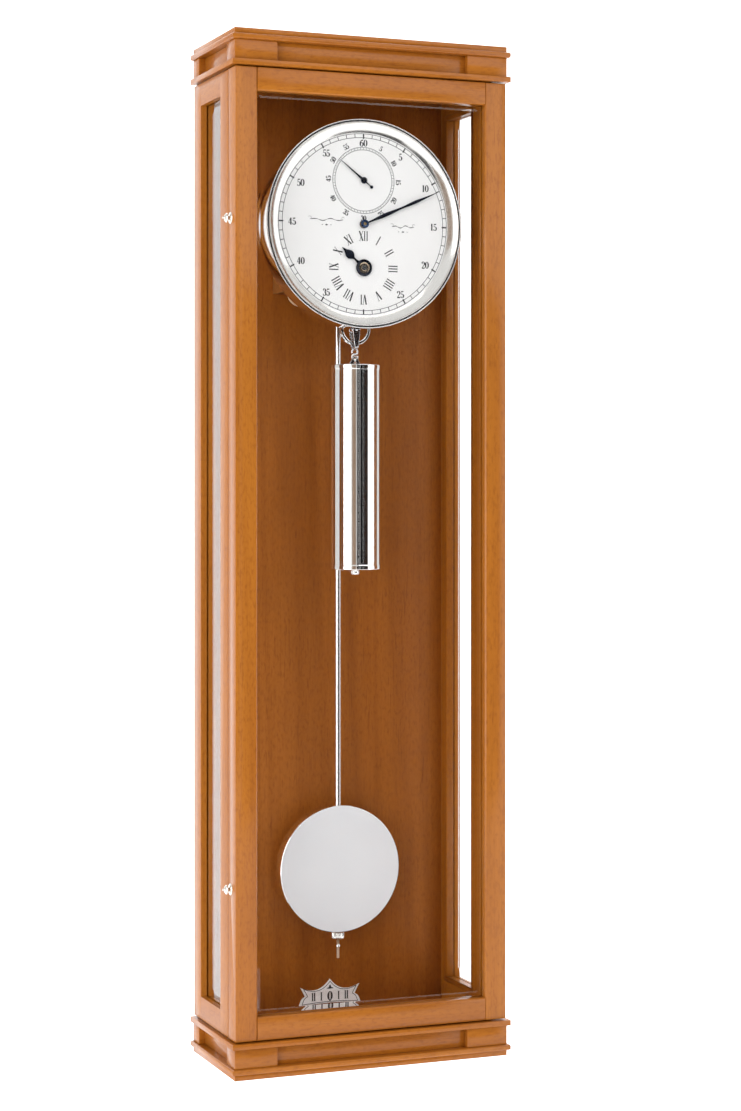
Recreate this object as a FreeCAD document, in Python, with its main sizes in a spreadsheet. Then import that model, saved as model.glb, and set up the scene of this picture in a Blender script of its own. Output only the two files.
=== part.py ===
import FreeCAD, Part
import math
import os
import re

import Sketcher

# Pendulum wall clock: a glazed wooden case, a dial with two subsidiary dials, a weight-driven
# movement, one weight on a pulley and a pendulum that beats 72 times a minute.
#
# Lengths are millimetres. +X is to the right of somebody facing the clock, +Y runs from the
# viewer into the wall and +Z is up. The origin is the hanger hole on the wall side of the back.
# Helpers take x from the centre line, depth from the door's front face and height above the foot.

DIMENSIONS = [
    # case and door
    ("door_width", 276.6), ("door_height", 908.2), ("door_depth", 21.0), ("door_member", 21.6),
    ("arris", 1.2), ("rebate", 5.0), ("glass_set", 8.0), ("glass_thick", 3.0), ("glass_bevel", 10.0),
    ("side_bevel", 15.0), ("bead_depth", 6.0), ("glass_play", 0.5), ("seam", 1.5), ("case_depth", 126.5),
    ("side_thick", 17.0), ("front_stile", 22.8), ("rear_stile", 21.4), ("side_set", 6.0), ("back_thick", 8.0),
    ("hanger_height", 915.0), ("hanger_hole", 3.0), ("hanger_width", 40.0), ("hanger_tall", 24.0),
    ("hanger_thick", 2.0), ("hanger_screw", 1.6), ("hanger_screw_out", 14.0),
    # crown and base, each a stack of boards
    ("cap_height", 5.3), ("moulding_height", 5.5), ("frieze_height", 18.5), ("bead_height", 5.2),
    ("shadow_gap", 1.4), ("cap_out", 1.0), ("moulding_out", 4.0), ("panel_in", 6.0),
    ("block_width", 42.0), ("block_front", 24.0), ("block_rear", 18.5), ("board_in", 3.0),
    ("tongue_tall", 8.0), ("moulding_round", 1.925),
    # latch knobs and hinges
    ("latch_low", 176.0), ("latch_high", 804.0), ("latch_depth", 15.4), ("spindle_radius", 2.0),
    ("hinge_out", 2.7), ("knuckle_radius", 2.5), ("pin_radius", 1.2), ("leaf_thick", 1.0),
    ("leaf_height", 40.0), ("leaf_width", 11.0), ("hinge_low", 150.0), ("hinge_high", 790.0),
    ("keeper_in", 4.0), ("keeper_wide", 4.5), ("keeper_deep", 8.0), ("keeper_tall", 21.0),
    ("cam_thick", 2.5), ("cam_wide", 5.0), ("cam_long", 13.6),
    ("turn_gap", 0.08), ("press_gap", 0.03), ("safe_gap", 0.3),
    # dial
    ("dial_height", 804.9), ("subdial_offset", 42.0), ("dial_front", 26.9), ("dial_thick", 1.5),
    ("dial_radius", 88.0), ("rim_front", 21.5), ("drum_radius", 100.5), ("drum_back", 43.5),
    ("drum_wall", 1.2), ("minute_reach", 86.0), ("hour_reach", 28.0), ("seconds_reach", 32.0),
    # movement
    ("front_plate_depth", 36.0), ("back_plate_depth", 63.5), ("plate_thick", 2.5),
    ("plate_half_width", 64.0), ("plate_half_height", 78.0), ("front_plate_half_width", 56.0),
    ("front_plate_half_height", 70.0), ("plate_corner", 13.0), ("pillar_radius", 4.0),
    ("arbor_radius", 1.5), ("pivot_radius", 1.0), ("winding_arbor_radius", 3.5), ("hour_pipe_radius", 5.0),
    ("winding_radius", 8.0), ("winding_length", 16.0), ("cable_radius", 0.5),
    ("pivot_height", 868.0), ("escape_radius", 14.0), ("escape_teeth", 36),
    # weight
    ("weight_depth", 50.0), ("weight_radius", 25.2), ("weight_bottom", 472.6),
    ("weight_height", 198.0), ("weight_cap", 5.0), ("spine_radius", 2.5), ("pulley_height", 705.5),
    ("pulley_radius", 15.5), ("groove_radius", 13.0), ("cable_top", 735.5),
    # pendulum
    ("pendulum_depth", 95.0), ("rod_radius", 2.85), ("bob_radius", 62.5), ("bob_thick", 14.0),
    ("bob_height", 176.0), ("nut_radius", 6.05), ("nut_height", 7.1), ("rod_tip", 87.0),
    # beat scale
    ("scale_half_width", 33.0), ("scale_height", 26.0), ("scale_thick", 1.5),
]

doc = FreeCAD.newDocument("wall_clock")
dims = doc.addObject("Spreadsheet::Sheet", "dims")
for row, (name, number) in enumerate(DIMENSIONS, start=1):
    dims.set(f"A{row}", name)
    dims.set(f"B{row}", str(number))
    dims.setAlias(f"B{row}", name)
doc.recompute()
ALIASES = {name for name, _ in DIMENSIONS}

# heights above the foot that several pieces share, as expressions
DOOR_BASE = "(cap_height + moulding_height + frieze_height + bead_height + shadow_gap)"
DOOR_TOP = f"({DOOR_BASE} + door_height)"
CROWN_BASE = f"({DOOR_TOP} + shadow_gap)"
HALF = "(door_width / 2)"
CASE_FRONT = "(door_depth + seam)"
WINDOW_DEPTH = f"({CASE_FRONT} + front_stile)"
WINDOW_WIDE = f"(case_depth - rear_stile - {WINDOW_DEPTH})"
OPENING_TALL = "(door_height - 2 * door_member)"
OPENING_WIDE = "(door_width - 2 * door_member)"
SECONDS_HEIGHT = "(dial_height + subdial_offset)"
HOUR_HEIGHT = "(dial_height - subdial_offset)"
BACK_FRONT = "(case_depth - back_thick)"

# tilts that lay a piece made along +Z down along another axis
UPRIGHT = FreeCAD.Rotation()
ALONG_X = FreeCAD.Rotation(FreeCAD.Vector(0, 1, 0), 90)
ALONG_Y = FreeCAD.Rotation(FreeCAD.Vector(1, 0, 0), -90)

nodes = {}


def bound(text):
    """The same expression with each dimension's name pointing at its spreadsheet cell."""
    return re.sub(r"[a-z_]+", lambda w: f"dims.{w[0]}" if w[0] in ALIASES else w[0], str(text))


def size(text):
    """The present value of an expression, for shapes that are worked out in code."""
    return float(dims.evalExpression(re.sub(r"dims\.", "", bound(text))))


def place(item, x=0, depth=0, height=0, turn=UPRIGHT):
    """Puts an object's own zero at x, depth and height, measured in the row frame."""
    item.Placement = FreeCAD.Placement(FreeCAD.Vector(), turn)
    item.setExpression("Placement.Base.x", bound(x))
    item.setExpression("Placement.Base.y", bound(f"({depth}) - case_depth"))
    item.setExpression("Placement.Base.z", bound(f"({height}) - hanger_height"))
    return item


def box(name, x, depth, height, along_x, along_y, along_z):
    item = doc.addObject("Part::Box", name)
    for side, value in (("Length", along_x), ("Width", along_y), ("Height", along_z)):
        item.setExpression(side, bound(value))
    return place(item, x, depth, height)


def rod(name, radius, length, x, depth, height, turn=UPRIGHT):
    item = doc.addObject("Part::Cylinder", name)
    item.setExpression("Radius", bound(radius))
    item.setExpression("Height", bound(length))
    return place(item, x, depth, height, turn)


def ring(name, major, minor, x, depth, height, turn=UPRIGHT):
    item = doc.addObject("Part::Torus", name)
    item.setExpression("Radius1", bound(major))
    item.setExpression("Radius2", bound(minor))
    return place(item, x, depth, height, turn)


def fuse(name, *pieces):
    item = doc.addObject("Part::MultiFuse", name)
    item.Shapes = list(pieces)
    item.Refine = True
    return item


def group(name, *pieces):
    """Separate solids that share one node."""
    item = doc.addObject("Part::Compound", name)
    item.Links = list(pieces)
    return item


def cut(name, base, *tools):
    item = doc.addObject("Part::Cut", name)
    item.Base = base
    item.Tool = tools[0] if len(tools) == 1 else group(f"{name}_tools", *tools)
    return item


def node(name, item):
    """Names a finished sub-part, which becomes a file of its own."""
    item.Label = name
    nodes[name] = item
    return item


def outline(body, plane, points):
    """A closed sketch on one of the body's own planes, each corner held by two expressions."""
    sketch = body.newObject("Sketcher::SketchObject", f"{body.Name}_sketch")
    support = next(f for f in body.Origin.OriginFeatures if f.Role == plane)
    sketch.AttachmentSupport = [(support, "")]
    sketch.MapMode = "FlatFace"
    corners = [FreeCAD.Vector(size(across), size(up), 0) for across, up in points]
    for i, corner in enumerate(corners):
        sketch.addGeometry(Part.LineSegment(corner, corners[(i + 1) % len(corners)]), False)
    for i in range(len(corners)):
        sketch.addConstraint(Sketcher.Constraint("Coincident", i, 2, (i + 1) % len(corners), 1))
    for i, corner in enumerate(corners):
        across, up = points[i]
        for kind, value, text in (("DistanceX", corner.x, across), ("DistanceY", corner.y, up)):
            held = sketch.addConstraint(Sketcher.Constraint(kind, -1, 1, i, 1, value))
            sketch.setExpression(f"Constraints[{held}]", bound(text))
    return sketch


def extruded(name, plane, points, length):
    """A pad of an outline. It grows along +X, +Y or +Z from the YZ, XZ or XY plane."""
    body = doc.addObject("PartDesign::Body", name)
    pad = body.newObject("PartDesign::Pad", f"{name}_pad")
    pad.Profile = outline(body, plane, points)
    pad.setExpression("Length", bound(length))
    pad.Reversed = plane == "XZ_Plane"
    return body


def turned(name, axis, points):
    """A lathe piece. Points are (radius, along) round y or z, and (along, radius) round x."""
    body = doc.addObject("PartDesign::Body", name)
    sketch = outline(body, "XZ_Plane" if axis == "z" else "XY_Plane", points)
    revolved = body.newObject("PartDesign::Revolution", f"{name}_turning")
    revolved.Profile = sketch
    revolved.ReferenceAxis = (sketch, ["H_Axis" if axis == "x" else "V_Axis"])
    revolved.Angle = 360
    return body


def feature(name, shape, x=0, depth=0, height=0):
    """A shape worked out in code about its own zero, then placed."""
    item = doc.addObject("Part::Feature", name)
    item.Shape = shape
    return place(item, x, depth, height)


def rounded(name, base, radius, wanted):
    """Rounds the edges whose middle point passes the wanted test."""
    doc.recompute()
    item = doc.addObject("Part::Fillet", name)
    item.Base = base
    picked = []
    for number, edge in enumerate(base.Shape.Edges, start=1):
        middle = edge.valueAt((edge.FirstParameter + edge.LastParameter) / 2)
        if wanted(middle, base.Shape.BoundBox):
            picked.append((number, radius, radius))
    item.Edges = picked
    return item


# ---------------------------------------------------------------- case

def side_frame(name, hand):
    """A side: two stiles and two rails round a window, rebated inside for its glass."""
    outer = f"-{HALF}" if hand < 0 else f"{HALF} - side_thick"
    blank = box(
        f"{name}_blank", outer, CASE_FRONT, DOOR_BASE, "side_thick", f"case_depth - {CASE_FRONT}",
        "door_height",
    )
    window = box(
        f"{name}_window", f"{outer} - 1", WINDOW_DEPTH, f"{DOOR_BASE} + door_member", "side_thick + 2",
        WINDOW_WIDE, OPENING_TALL,
    )
    inner = f"{outer} + side_set" if hand < 0 else f"{outer} - 1"
    rebate = box(
        f"{name}_rebate", inner, f"{WINDOW_DEPTH} - rebate", f"{DOOR_BASE} + door_member - rebate",
        "side_thick - side_set + 1", f"{WINDOW_WIDE} + 2 * rebate", f"{OPENING_TALL} + 2 * rebate",
    )
    tools = [window, rebate]
    for level in ("low", "high"):
        if hand < 0:
            keeper = box(
                f"keeper_{level}", f"-{HALF} + keeper_in", f"{CASE_FRONT} - 1", f"latch_{level} - 5",
                "keeper_wide", "keeper_deep", "keeper_tall",
            )
            tools.append(keeper)
        else:
            tools.append(hinge_seat(f"case_seat_{level}", level, f"{CASE_FRONT} - 1", "leaf_thick + 1"))
    return node(name, cut(name, blank, *tools))


def hinge_seat(name, level, depth, deep):
    """The recess that a hinge leaf is let into."""
    gap = "0.1"
    return box(
        name, f"{HALF} - leaf_width - {gap}", depth, f"hinge_{level} - {gap}", f"leaf_width + {gap} + 1",
        deep, f"leaf_height + 2 * {gap}",
    )


def side_glass(name, hand):
    """Bevelled glass in a side, with its bevel on the outside."""
    pane = bevelled_pane(
        f"{name}_pane", f"{WINDOW_WIDE} + 2 * (rebate - glass_play)",
        f"{OPENING_TALL} + 2 * (rebate - glass_play)", "side_bevel",
    )
    depth = f"{WINDOW_DEPTH} + {WINDOW_WIDE} / 2"
    x = f"-{HALF} + side_set" if hand < 0 else f"{HALF} - side_set"
    turn = FreeCAD.Rotation(FreeCAD.Vector(0, 0, 1), -90 if hand < 0 else 90)
    place(pane, x, depth, f"{DOOR_BASE} + door_height / 2", turn)
    return node(name, pane)


def bevelled_pane(name, wide, tall, bevel_width):
    """A pane standing in the XZ plane about its centre, its bevelled face towards -Y."""
    half_wide = size(wide) / 2
    half_tall = size(tall) / 2
    bevel = size(bevel_width)
    thick = size("glass_thick")
    edge = thick / 2

    def frame(half_x, half_z, y):
        corners = [(-half_x, -half_z), (half_x, -half_z), (half_x, half_z), (-half_x, half_z)]
        points = [FreeCAD.Vector(x, y, z) for x, z in corners]
        return Part.makePolygon(points + points[:1])

    inner, outer = frame(half_wide - bevel, half_tall - bevel, 0), frame(half_wide, half_tall, edge)
    bevelled = Part.makeLoft([inner, outer], True)
    slab = Part.Face(frame(half_wide, half_tall, edge)).extrude(FreeCAD.Vector(0, thick - edge, 0))
    return feature(name, bevelled.fuse(slab).removeSplitter())


def side_beads():
    """Strips that hold the side glasses from inside."""
    strips = []
    start = f"{WINDOW_DEPTH} - rebate"
    wide = f"{WINDOW_WIDE} + 2 * rebate"
    thick = "side_thick - side_set - glass_thick"
    for hand, x in ((-1, f"-{HALF} + side_set + glass_thick"), (1, f"{HALF} - side_thick")):
        for end in (0, 1):
            depth = f"{start} + {end} * ({wide} - rebate)"
            height = f"{DOOR_BASE} + door_member - rebate + {end} * ({OPENING_TALL} + rebate)"
            upright = box(
                f"bead_u{hand}{end}", x, depth, f"{DOOR_BASE} + door_member", thick, "rebate", OPENING_TALL,
            )
            level = box(f"bead_l{hand}{end}", x, start, height, thick, wide, "rebate")
            strips += [upright, level]
    return node("side_glass_beads", group("side_beads", *strips))


def back_panel():
    """The back board, with the bore that the wall hook's pin enters."""
    half = f"({HALF} - side_thick)"
    board = box("back_board", f"-{half}", BACK_FRONT, DOOR_BASE, f"2 * {half}", "back_thick", "door_height")
    face = "case_depth - hanger_thick"
    seat = box(
        "hanger_seat", "-hanger_width / 2", face, "hanger_height - hanger_tall / 2", "hanger_width",
        "hanger_thick + 1", "hanger_tall",
    )
    hole = rod(
        "hanger_clearance", "2 * hanger_hole", "back_thick", 0, "case_depth - 7", "hanger_height", ALONG_Y,
    )
    node("back_panel", cut("back_cut", board, seat, hole))
    plate = box(
        "hanger_blank", "-hanger_width / 2 + 0.2", face, "hanger_height - hanger_tall / 2 + 0.2",
        "hanger_width - 0.4", "hanger_thick", "hanger_tall - 0.4",
    )
    holes = [
        rod("hanger_bore", "hanger_hole", "2 * hanger_thick", 0, f"{face} - 1", "hanger_height", ALONG_Y),
    ]
    for side in (-1, 1):
        holes.append(rod(
            f"hanger_screw_{side}", "hanger_screw", "2 * hanger_thick", f"{side} * hanger_screw_out",
            f"{face} - 1", "hanger_height", ALONG_Y,
        ))
    node("hanger_plate", cut("hanger_cut", plate, *holes))


def boards(part, low, upward):
    """Crown (upward) or base: cap or foot, moulding, frieze with corner blocks, and bead."""
    def level(start, height):
        return f"{low} + ({start})" if upward else f"{low} - ({start}) - ({height})"

    def slab(name, out, start, height):
        width = f"2 * ({HALF} + {out})"
        return box(
            name, f"-{HALF} - {out}", f"-({out})", level(start, height), width, f"case_depth + {out}",
            height,
        )

    board_x = f"({HALF} - board_in)"
    board_depth = f"{CASE_FRONT} + board_in"
    board_tall = "shadow_gap + bead_height"
    board = box(
        f"{part}_board_blank", f"-{board_x}", board_depth, level("-shadow_gap", board_tall), f"2 * {board_x}",
        f"case_depth - ({board_depth})", board_tall,
    )
    bead = slab(f"{part}_bead_blank", "moulding_out", "0", "bead_height")
    node(f"{part}_bead", cut(f"{part}_bead_cut", bead, board))
    if upward:
        inner = f"({HALF} - side_thick)"
        tongue = box(
            f"{part}_tongue", f"-{inner}", CASE_FRONT, level("-shadow_gap - tongue_tall", "tongue_tall"),
            f"2 * {inner}", f"{BACK_FRONT} - {CASE_FRONT}", "tongue_tall",
        )
        node("top_board", fuse("top_board_body", board, tongue))
    else:
        node("bottom_board", board)
    frieze = level("bead_height", "frieze_height")
    face = "(cap_out - panel_in)"
    core = box(
        f"{part}_core", f"-{HALF} - {face}", f"-{face}", frieze, f"2 * ({HALF} + {face})",
        f"case_depth + {face}", "frieze_height",
    )
    blocks = []
    for hand in (-1, 1):
        x = f"-{HALF} - cap_out" if hand < 0 else f"{HALF} + cap_out - block_width"
        front = box(
            f"{part}_block_front_{hand}", x, "-cap_out", frieze, "block_width", "block_front",
            "frieze_height",
        )
        rear_x = f"-{HALF} - cap_out" if hand < 0 else f"{HALF} + cap_out - 2 * panel_in"
        rear = box(
            f"{part}_block_rear_{hand}", rear_x, "case_depth - block_rear", frieze, "2 * panel_in",
            "block_rear", "frieze_height",
        )
        blocks += [front, rear]
    corner_group = group(f"{part}_blocks_group", *blocks)
    node(f"{part}_blocks", corner_group)
    node(f"{part}_frieze", cut(f"{part}_frieze_cut", core, corner_group))
    moulding_start = "bead_height + frieze_height"
    moulding = slab(f"{part}_moulding_blank", "moulding_out", moulding_start, "moulding_height")
    softened = rounded(f"{part}_moulding_round", moulding, size("moulding_round"), outer_level_edge)
    node(f"{part}_moulding", softened)
    cap_start = "bead_height + frieze_height + moulding_height"
    node(
        f"{part}_cap" if upward else "base_foot",
        slab(f"{part}_cap_board", "cap_out", cap_start, "cap_height"),
    )


def outer_level_edge(middle, limits):
    """The level edges of a board's front and two sides, not the wall side."""
    at_level = abs(middle.z - limits.ZMin) < 1e-3 or abs(middle.z - limits.ZMax) < 1e-3
    return at_level and abs(middle.y - limits.YMax) > 1e-3


# ---------------------------------------------------------------- door

def door_section(sign):
    """Section of a stile or rail: a small arris in front and the glass rebate behind."""
    inner = "door_member"
    points = [
        ("0", "0"), (f"{inner} - arris", "0"), (inner, "arris"), (inner, "glass_set"),
        (f"{inner} - rebate", "glass_set"), (f"{inner} - rebate", "door_depth"), ("0", "door_depth"),
    ]
    return [(f"{sign} * ({across})", depth) for across, depth in points]


def door_frame():
    left = extruded("left_stile_body", "XY_Plane", door_section(1), "door_height")
    place(left, f"-{HALF}", 0, DOOR_BASE)
    right = extruded("right_stile_body", "XY_Plane", door_section(-1), "door_height")
    place(right, HALF, 0, DOOR_BASE)
    slots = []
    seats = []
    for level in ("low", "high"):
        bore = rod(
            f"spindle_bore_{level}", "spindle_radius + turn_gap", "11", f"-{HALF} - 1", "latch_depth",
            f"latch_{level}", ALONG_X,
        )
        slot = box(
            f"latch_slot_{level}", f"-{HALF} + 4.5", "latch_depth - 4", f"latch_{level} - 4", "cam_thick + 1",
            "door_depth", "22",
        )
        slots += [bore, slot]
        seats.append(hinge_seat(f"door_seat_{level}", level, "door_depth - leaf_thick", "leaf_thick + 1"))
    node("left_door_stile", cut("left_stile_cut", left, *slots))
    node("right_door_stile", cut("right_stile_cut", right, *seats))
    for name, sign, height in (("bottom_door_rail", 1, DOOR_BASE), ("top_door_rail", -1, DOOR_TOP)):
        section = [(depth, up) for up, depth in door_section(sign)]
        rail = extruded(f"{name}_body", "YZ_Plane", section, OPENING_WIDE)
        node(name, place(rail, f"-{HALF} + door_member", 0, height))


def door_glazing():
    wide = f"{OPENING_WIDE} + 2 * (rebate - glass_play)"
    pane = bevelled_pane("door_pane", wide, f"{OPENING_TALL} + 2 * (rebate - glass_play)", "glass_bevel")
    node("door_glass", place(pane, 0, "glass_set", f"{DOOR_BASE} + door_height / 2"))
    strips = []
    depth = "glass_set + glass_thick"
    for hand in (-1, 1):
        x = f"{hand} * ({OPENING_WIDE} / 2 + rebate / 2) - rebate / 2"
        upright = box(
            f"door_bead_u{hand}", x, depth, f"{DOOR_BASE} + door_member", "rebate", "bead_depth",
            OPENING_TALL,
        )
        middle = f"{DOOR_BASE} + door_height / 2 + {hand} * ({OPENING_TALL} / 2 + rebate / 2)"
        level = box(
            f"door_bead_l{hand}", f"-{OPENING_WIDE} / 2 - rebate", depth, f"{middle} - rebate / 2",
            f"{OPENING_WIDE} + 2 * rebate", "bead_depth", "rebate",
        )
        strips += [upright, level]
    node("door_glass_beads", group("door_beads", *strips))


def latch(level, name):
    """A turned knob on the door's edge. Its spindle carries a cam that turns inside the stile."""
    knob = turned(f"{name}_knob", "x", [
        ("-8", "0"), ("-8", "1.6"), ("-7.2", "3.2"), ("-5.8", "4"), ("-4.2", "3.6"), ("-3.2", "2.2"),
        ("-1.6", "2.2"), ("-1.6", "spindle_radius"), ("8.5", "spindle_radius"), ("8.5", "0"),
    ])
    place(knob, f"-{HALF}", "latch_depth", f"latch_{level}")
    cam = box(
        f"{name}_cam", f"-{HALF} + 5", "latch_depth - cam_wide / 2", f"latch_{level} - cam_wide / 2",
        "cam_thick", "cam_wide", "cam_long",
    )
    return node(name, fuse(f"{name}_body", knob, cam))


def latch_rosettes():
    rosettes = []
    for level in ("low", "high"):
        rosette = turned(f"rosette_{level}", "x", [
            ("-1.4", "spindle_radius + turn_gap"), ("-1.4", "3.6"), ("-0.8", "5.2"), ("0", "5.5"),
            ("0", "spindle_radius + turn_gap"),
        ])
        rosettes.append(place(rosette, f"-{HALF}", "latch_depth", f"latch_{level}"))
    node("latch_rosettes", group("rosettes", *rosettes))


def hinges():
    """Two butt hinges whose knuckles stand just outside the seam on the right."""
    axis_x = f"{HALF} + hinge_out"
    seam_depth = "door_depth + seam / 2"
    third = "(leaf_height / 3)"
    case_leaves, door_leaves, pins = [], [], []
    for level in ("low", "high"):
        low = f"hinge_{level}"
        bores = rod(f"pin_bore_{level}", "pin_radius", "leaf_height + 2", axis_x, seam_depth, f"{low} - 1")
        turning_bore = rod(
            f"turn_bore_{level}", "pin_radius + turn_gap", "leaf_height + 2", axis_x, seam_depth,
            f"{low} - 1",
        )
        knuckles = []
        for end in (0, 2):
            start = f"{low} + {end} * {third}"
            knuckle = rod(f"case_knuckle_{level}_{end}", "knuckle_radius", third, axis_x, seam_depth, start)
            tab = box(
                f"case_tab_{level}_{end}", f"{HALF} - 1", CASE_FRONT, start, "hinge_out + 1", "leaf_thick",
                third,
            )
            knuckles += [knuckle, tab]
        leaf = box(
            f"case_leaf_{level}", f"{HALF} - leaf_width", CASE_FRONT, low, "leaf_width", "leaf_thick",
            "leaf_height",
        )
        case_leaves.append(
            cut(f"case_leaf_cut_{level}", fuse(f"case_leaf_all_{level}", leaf, *knuckles), bores),
        )
        middle = rod(
            f"door_knuckle_{level}", "knuckle_radius", f"{third} - 2 * turn_gap", axis_x, seam_depth,
            f"{low} + {third} + turn_gap",
        )
        tab = box(
            f"door_tab_{level}", f"{HALF} - 1", "door_depth - leaf_thick", f"{low} + {third} + turn_gap",
            "hinge_out + 1", "leaf_thick", f"{third} - 2 * turn_gap",
        )
        leaf = box(
            f"door_leaf_{level}", f"{HALF} - leaf_width", "door_depth - leaf_thick", low, "leaf_width",
            "leaf_thick", "leaf_height",
        )
        door_leaves.append(
            cut(f"door_leaf_cut_{level}", fuse(f"door_leaf_all_{level}", leaf, middle, tab), turning_bore),
        )
        pins.append(rod(f"pin_{level}", "pin_radius", "leaf_height", axis_x, seam_depth, low))
    node("case_hinge_leaves", group("case_leaves", *case_leaves))
    node("door_hinge_leaves", group("door_leaves", *door_leaves))
    node("hinge_pins", group("pins", *pins))


# ---------------------------------------------------------------- dial and hands

def dial():
    depth = "(dial_front - rim_front)"
    drum = turned("drum_body", "y", [
        ("drum_radius - drum_wall", "0"), ("drum_radius", "0"), ("drum_radius", "drum_back - rim_front"),
        ("drum_radius - drum_wall", "drum_back - rim_front"),
    ])
    node("dial_drum", place(drum, 0, "rim_front", "dial_height"))
    bezel = turned("bezel_body", "y", [
        ("drum_radius - drum_wall", "0.3"), ("drum_radius - 2.4", "0.3"), ("dial_radius", depth),
        ("dial_radius", f"{depth} + dial_thick"), ("drum_radius - drum_wall", f"{depth} + dial_thick"),
    ])
    node("bezel_ring", place(bezel, 0, "rim_front", "dial_height"))
    plate = rod("dial_blank", "dial_radius - turn_gap", "dial_thick", 0, "dial_front", "dial_height", ALONG_Y)
    holes = [
        rod("minute_hole", "4", "4", 0, "dial_front - 1", "dial_height", ALONG_Y),
        rod("seconds_hole", "2", "4", 0, "dial_front - 1", SECONDS_HEIGHT, ALONG_Y),
        rod("hour_hole", "6.5", "4", 0, "dial_front - 1", HOUR_HEIGHT, ALONG_Y),
    ]
    node("dial_plate", cut("dial_cut", plate, *holes))


def hand_outline(reach, stations):
    """A flat hand's outline up +Z, from (share of reach, half width) stations, tail first."""
    right = [(half, f"{share} * ({reach})") for share, half in stations]
    left = [(f"-({half})", up) for half, up in reversed(right) if half != "0"]
    return right + left


def hands():
    # widest places of the two swellings on the minute hand, then its needle
    minute = hand_outline("minute_reach", [
        ("0", "1.2"), ("0.1", "1.1"), ("0.23", "2"), ("0.3", "1.8"), ("0.47", "0.7"), ("0.66", "1.5"),
        ("0.8", "0.5"), ("1", "0"),
    ])
    blade = extruded("minute_blade", "XZ_Plane", minute, "0.8")
    place(blade, 0, "dial_front - 3.9", "dial_height", FreeCAD.Rotation(FreeCAD.Vector(0, 1, 0), 66.3))
    boss = rod("minute_boss", "4", "1.5", 0, "dial_front - 4.4", "dial_height", ALONG_Y)
    pipe = rod("minute_pipe", "2.6", "4.5", 0, "dial_front - 3.5", "dial_height", ALONG_Y)
    bore = rod("minute_bore", "arbor_radius + press_gap", "8", 0, "dial_front - 5", "dial_height", ALONG_Y)
    node("minute_hand", cut("minute_cut", fuse("minute_fused", blade, boss, pipe), bore))

    hour = hand_outline("hour_reach", [
        ("0.2", "1"), ("0.45", "0.9"), ("0.58", "3.4"), ("0.7", "3.6"), ("0.82", "1.2"), ("1", "0"),
    ])
    spade = extruded("hour_blade", "XZ_Plane", hour, "0.6")
    place(spade, 0, "dial_front - 1.9", HOUR_HEIGHT, FreeCAD.Rotation(FreeCAD.Vector(0, 1, 0), -50))
    collar = rod("hour_collar", "7.5", "0.8", 0, "dial_front - 2.1", HOUR_HEIGHT, ALONG_Y)
    hole = rod("hour_bore", "hour_pipe_radius + press_gap", "3", 0, "dial_front - 2.4", HOUR_HEIGHT, ALONG_Y)
    node("hour_hand", cut("hour_cut", fuse("hour_fused", spade, collar), hole))

    seconds = hand_outline("seconds_reach", [("-0.3", "0.8"), ("0", "0.7"), ("0.1", "0.6"), ("1", "0.25")])
    needle = extruded("seconds_blade", "XZ_Plane", seconds, "0.4")
    place(needle, 0, "dial_front - 1.5", SECONDS_HEIGHT, FreeCAD.Rotation(FreeCAD.Vector(0, 1, 0), -52))
    hub = rod("seconds_hub", "3", "1", 0, "dial_front - 1.9", SECONDS_HEIGHT, ALONG_Y)
    bore = rod(
        "seconds_bore", "pivot_radius + press_gap", "3", 0, "dial_front - 2.5", SECONDS_HEIGHT, ALONG_Y,
    )
    node("seconds_hand", cut("seconds_cut", fuse("seconds_fused", needle, hub), bore))


# ---------------------------------------------------------------- movement

def involute(angle):
    return math.tan(angle) - angle


def gear_face(teeth, module, toward, tooth_there):
    """A spur gear's face in the XZ plane. Seen from the front, 'toward' is the angle from +X
    to its mate, where it has a tooth or, if not tooth_there, a space."""
    pressure = math.radians(20)
    pitch = module * teeth / 2
    base = pitch * math.cos(pressure)
    tip = pitch + 0.8 * module
    root = pitch - 1.15 * module
    half_tooth = math.pi / (2 * teeth) - 0.09 * module / pitch

    def half_angle(radius):
        lean = math.acos(min(1, base / radius))
        return half_tooth + involute(pressure) - involute(lean)

    radii = [root] + [max(root, base) + (tip - max(root, base)) * share for share in (0, 0.5, 1)]
    step = 2 * math.pi / teeth
    start = math.radians(toward) + (0 if tooth_there else step / 2)
    points = []
    for tooth in range(teeth):
        middle = start + tooth * step
        flank = [(radius, half_angle(max(radius, base))) for radius in radii]
        for radius, half in flank:
            points.append((radius, middle - half))
        for radius, half in reversed(flank):
            points.append((radius, middle + half))
    corners = []
    for radius, angle in points:
        corner = FreeCAD.Vector(radius * math.cos(angle), 0, radius * math.sin(angle))
        if not corners or corner.distanceToPoint(corners[-1]) > 1e-4:
            corners.append(corner)
    return Part.Face(Part.makePolygon(corners + corners[:1]))


def gear(teeth, module, toward, tooth_there, start, end):
    """A gear between two depths, about the line through its own zero along Y."""
    return slid(gear_face(teeth, module, toward, tooth_there), start, end)


def slid(face, start, end):
    face.translate(FreeCAD.Vector(0, start, 0))
    return face.extrude(FreeCAD.Vector(0, end - start, 0))


def disc(radius, start, end):
    return Part.makeCylinder(radius, end - start, FreeCAD.Vector(0, start, 0), FreeCAD.Vector(0, 1, 0))


def bearing(a, b):
    """The angle from +X, seen from the front, of arbor b from arbor a."""
    return math.degrees(math.atan2(b[1] - a[1], b[0] - a[0]))


def third_point(a, b, from_a, from_b):
    """The place to the right of the line a-b at the two given distances."""
    apart = math.dist(a, b)
    along = (apart**2 + from_a**2 - from_b**2) / (2 * apart)
    out = math.sqrt(from_a**2 - along**2)
    return (a[0] + out, a[1] + along * (1 if b[1] > a[1] else -1))


MINUTE = (0.0, size("dial_height"))
HOUR = (0.0, size(HOUR_HEIGHT))
SECONDS = (0.0, size(SECONDS_HEIGHT))
PALLET = (0.0, size("pivot_height"))
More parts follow.
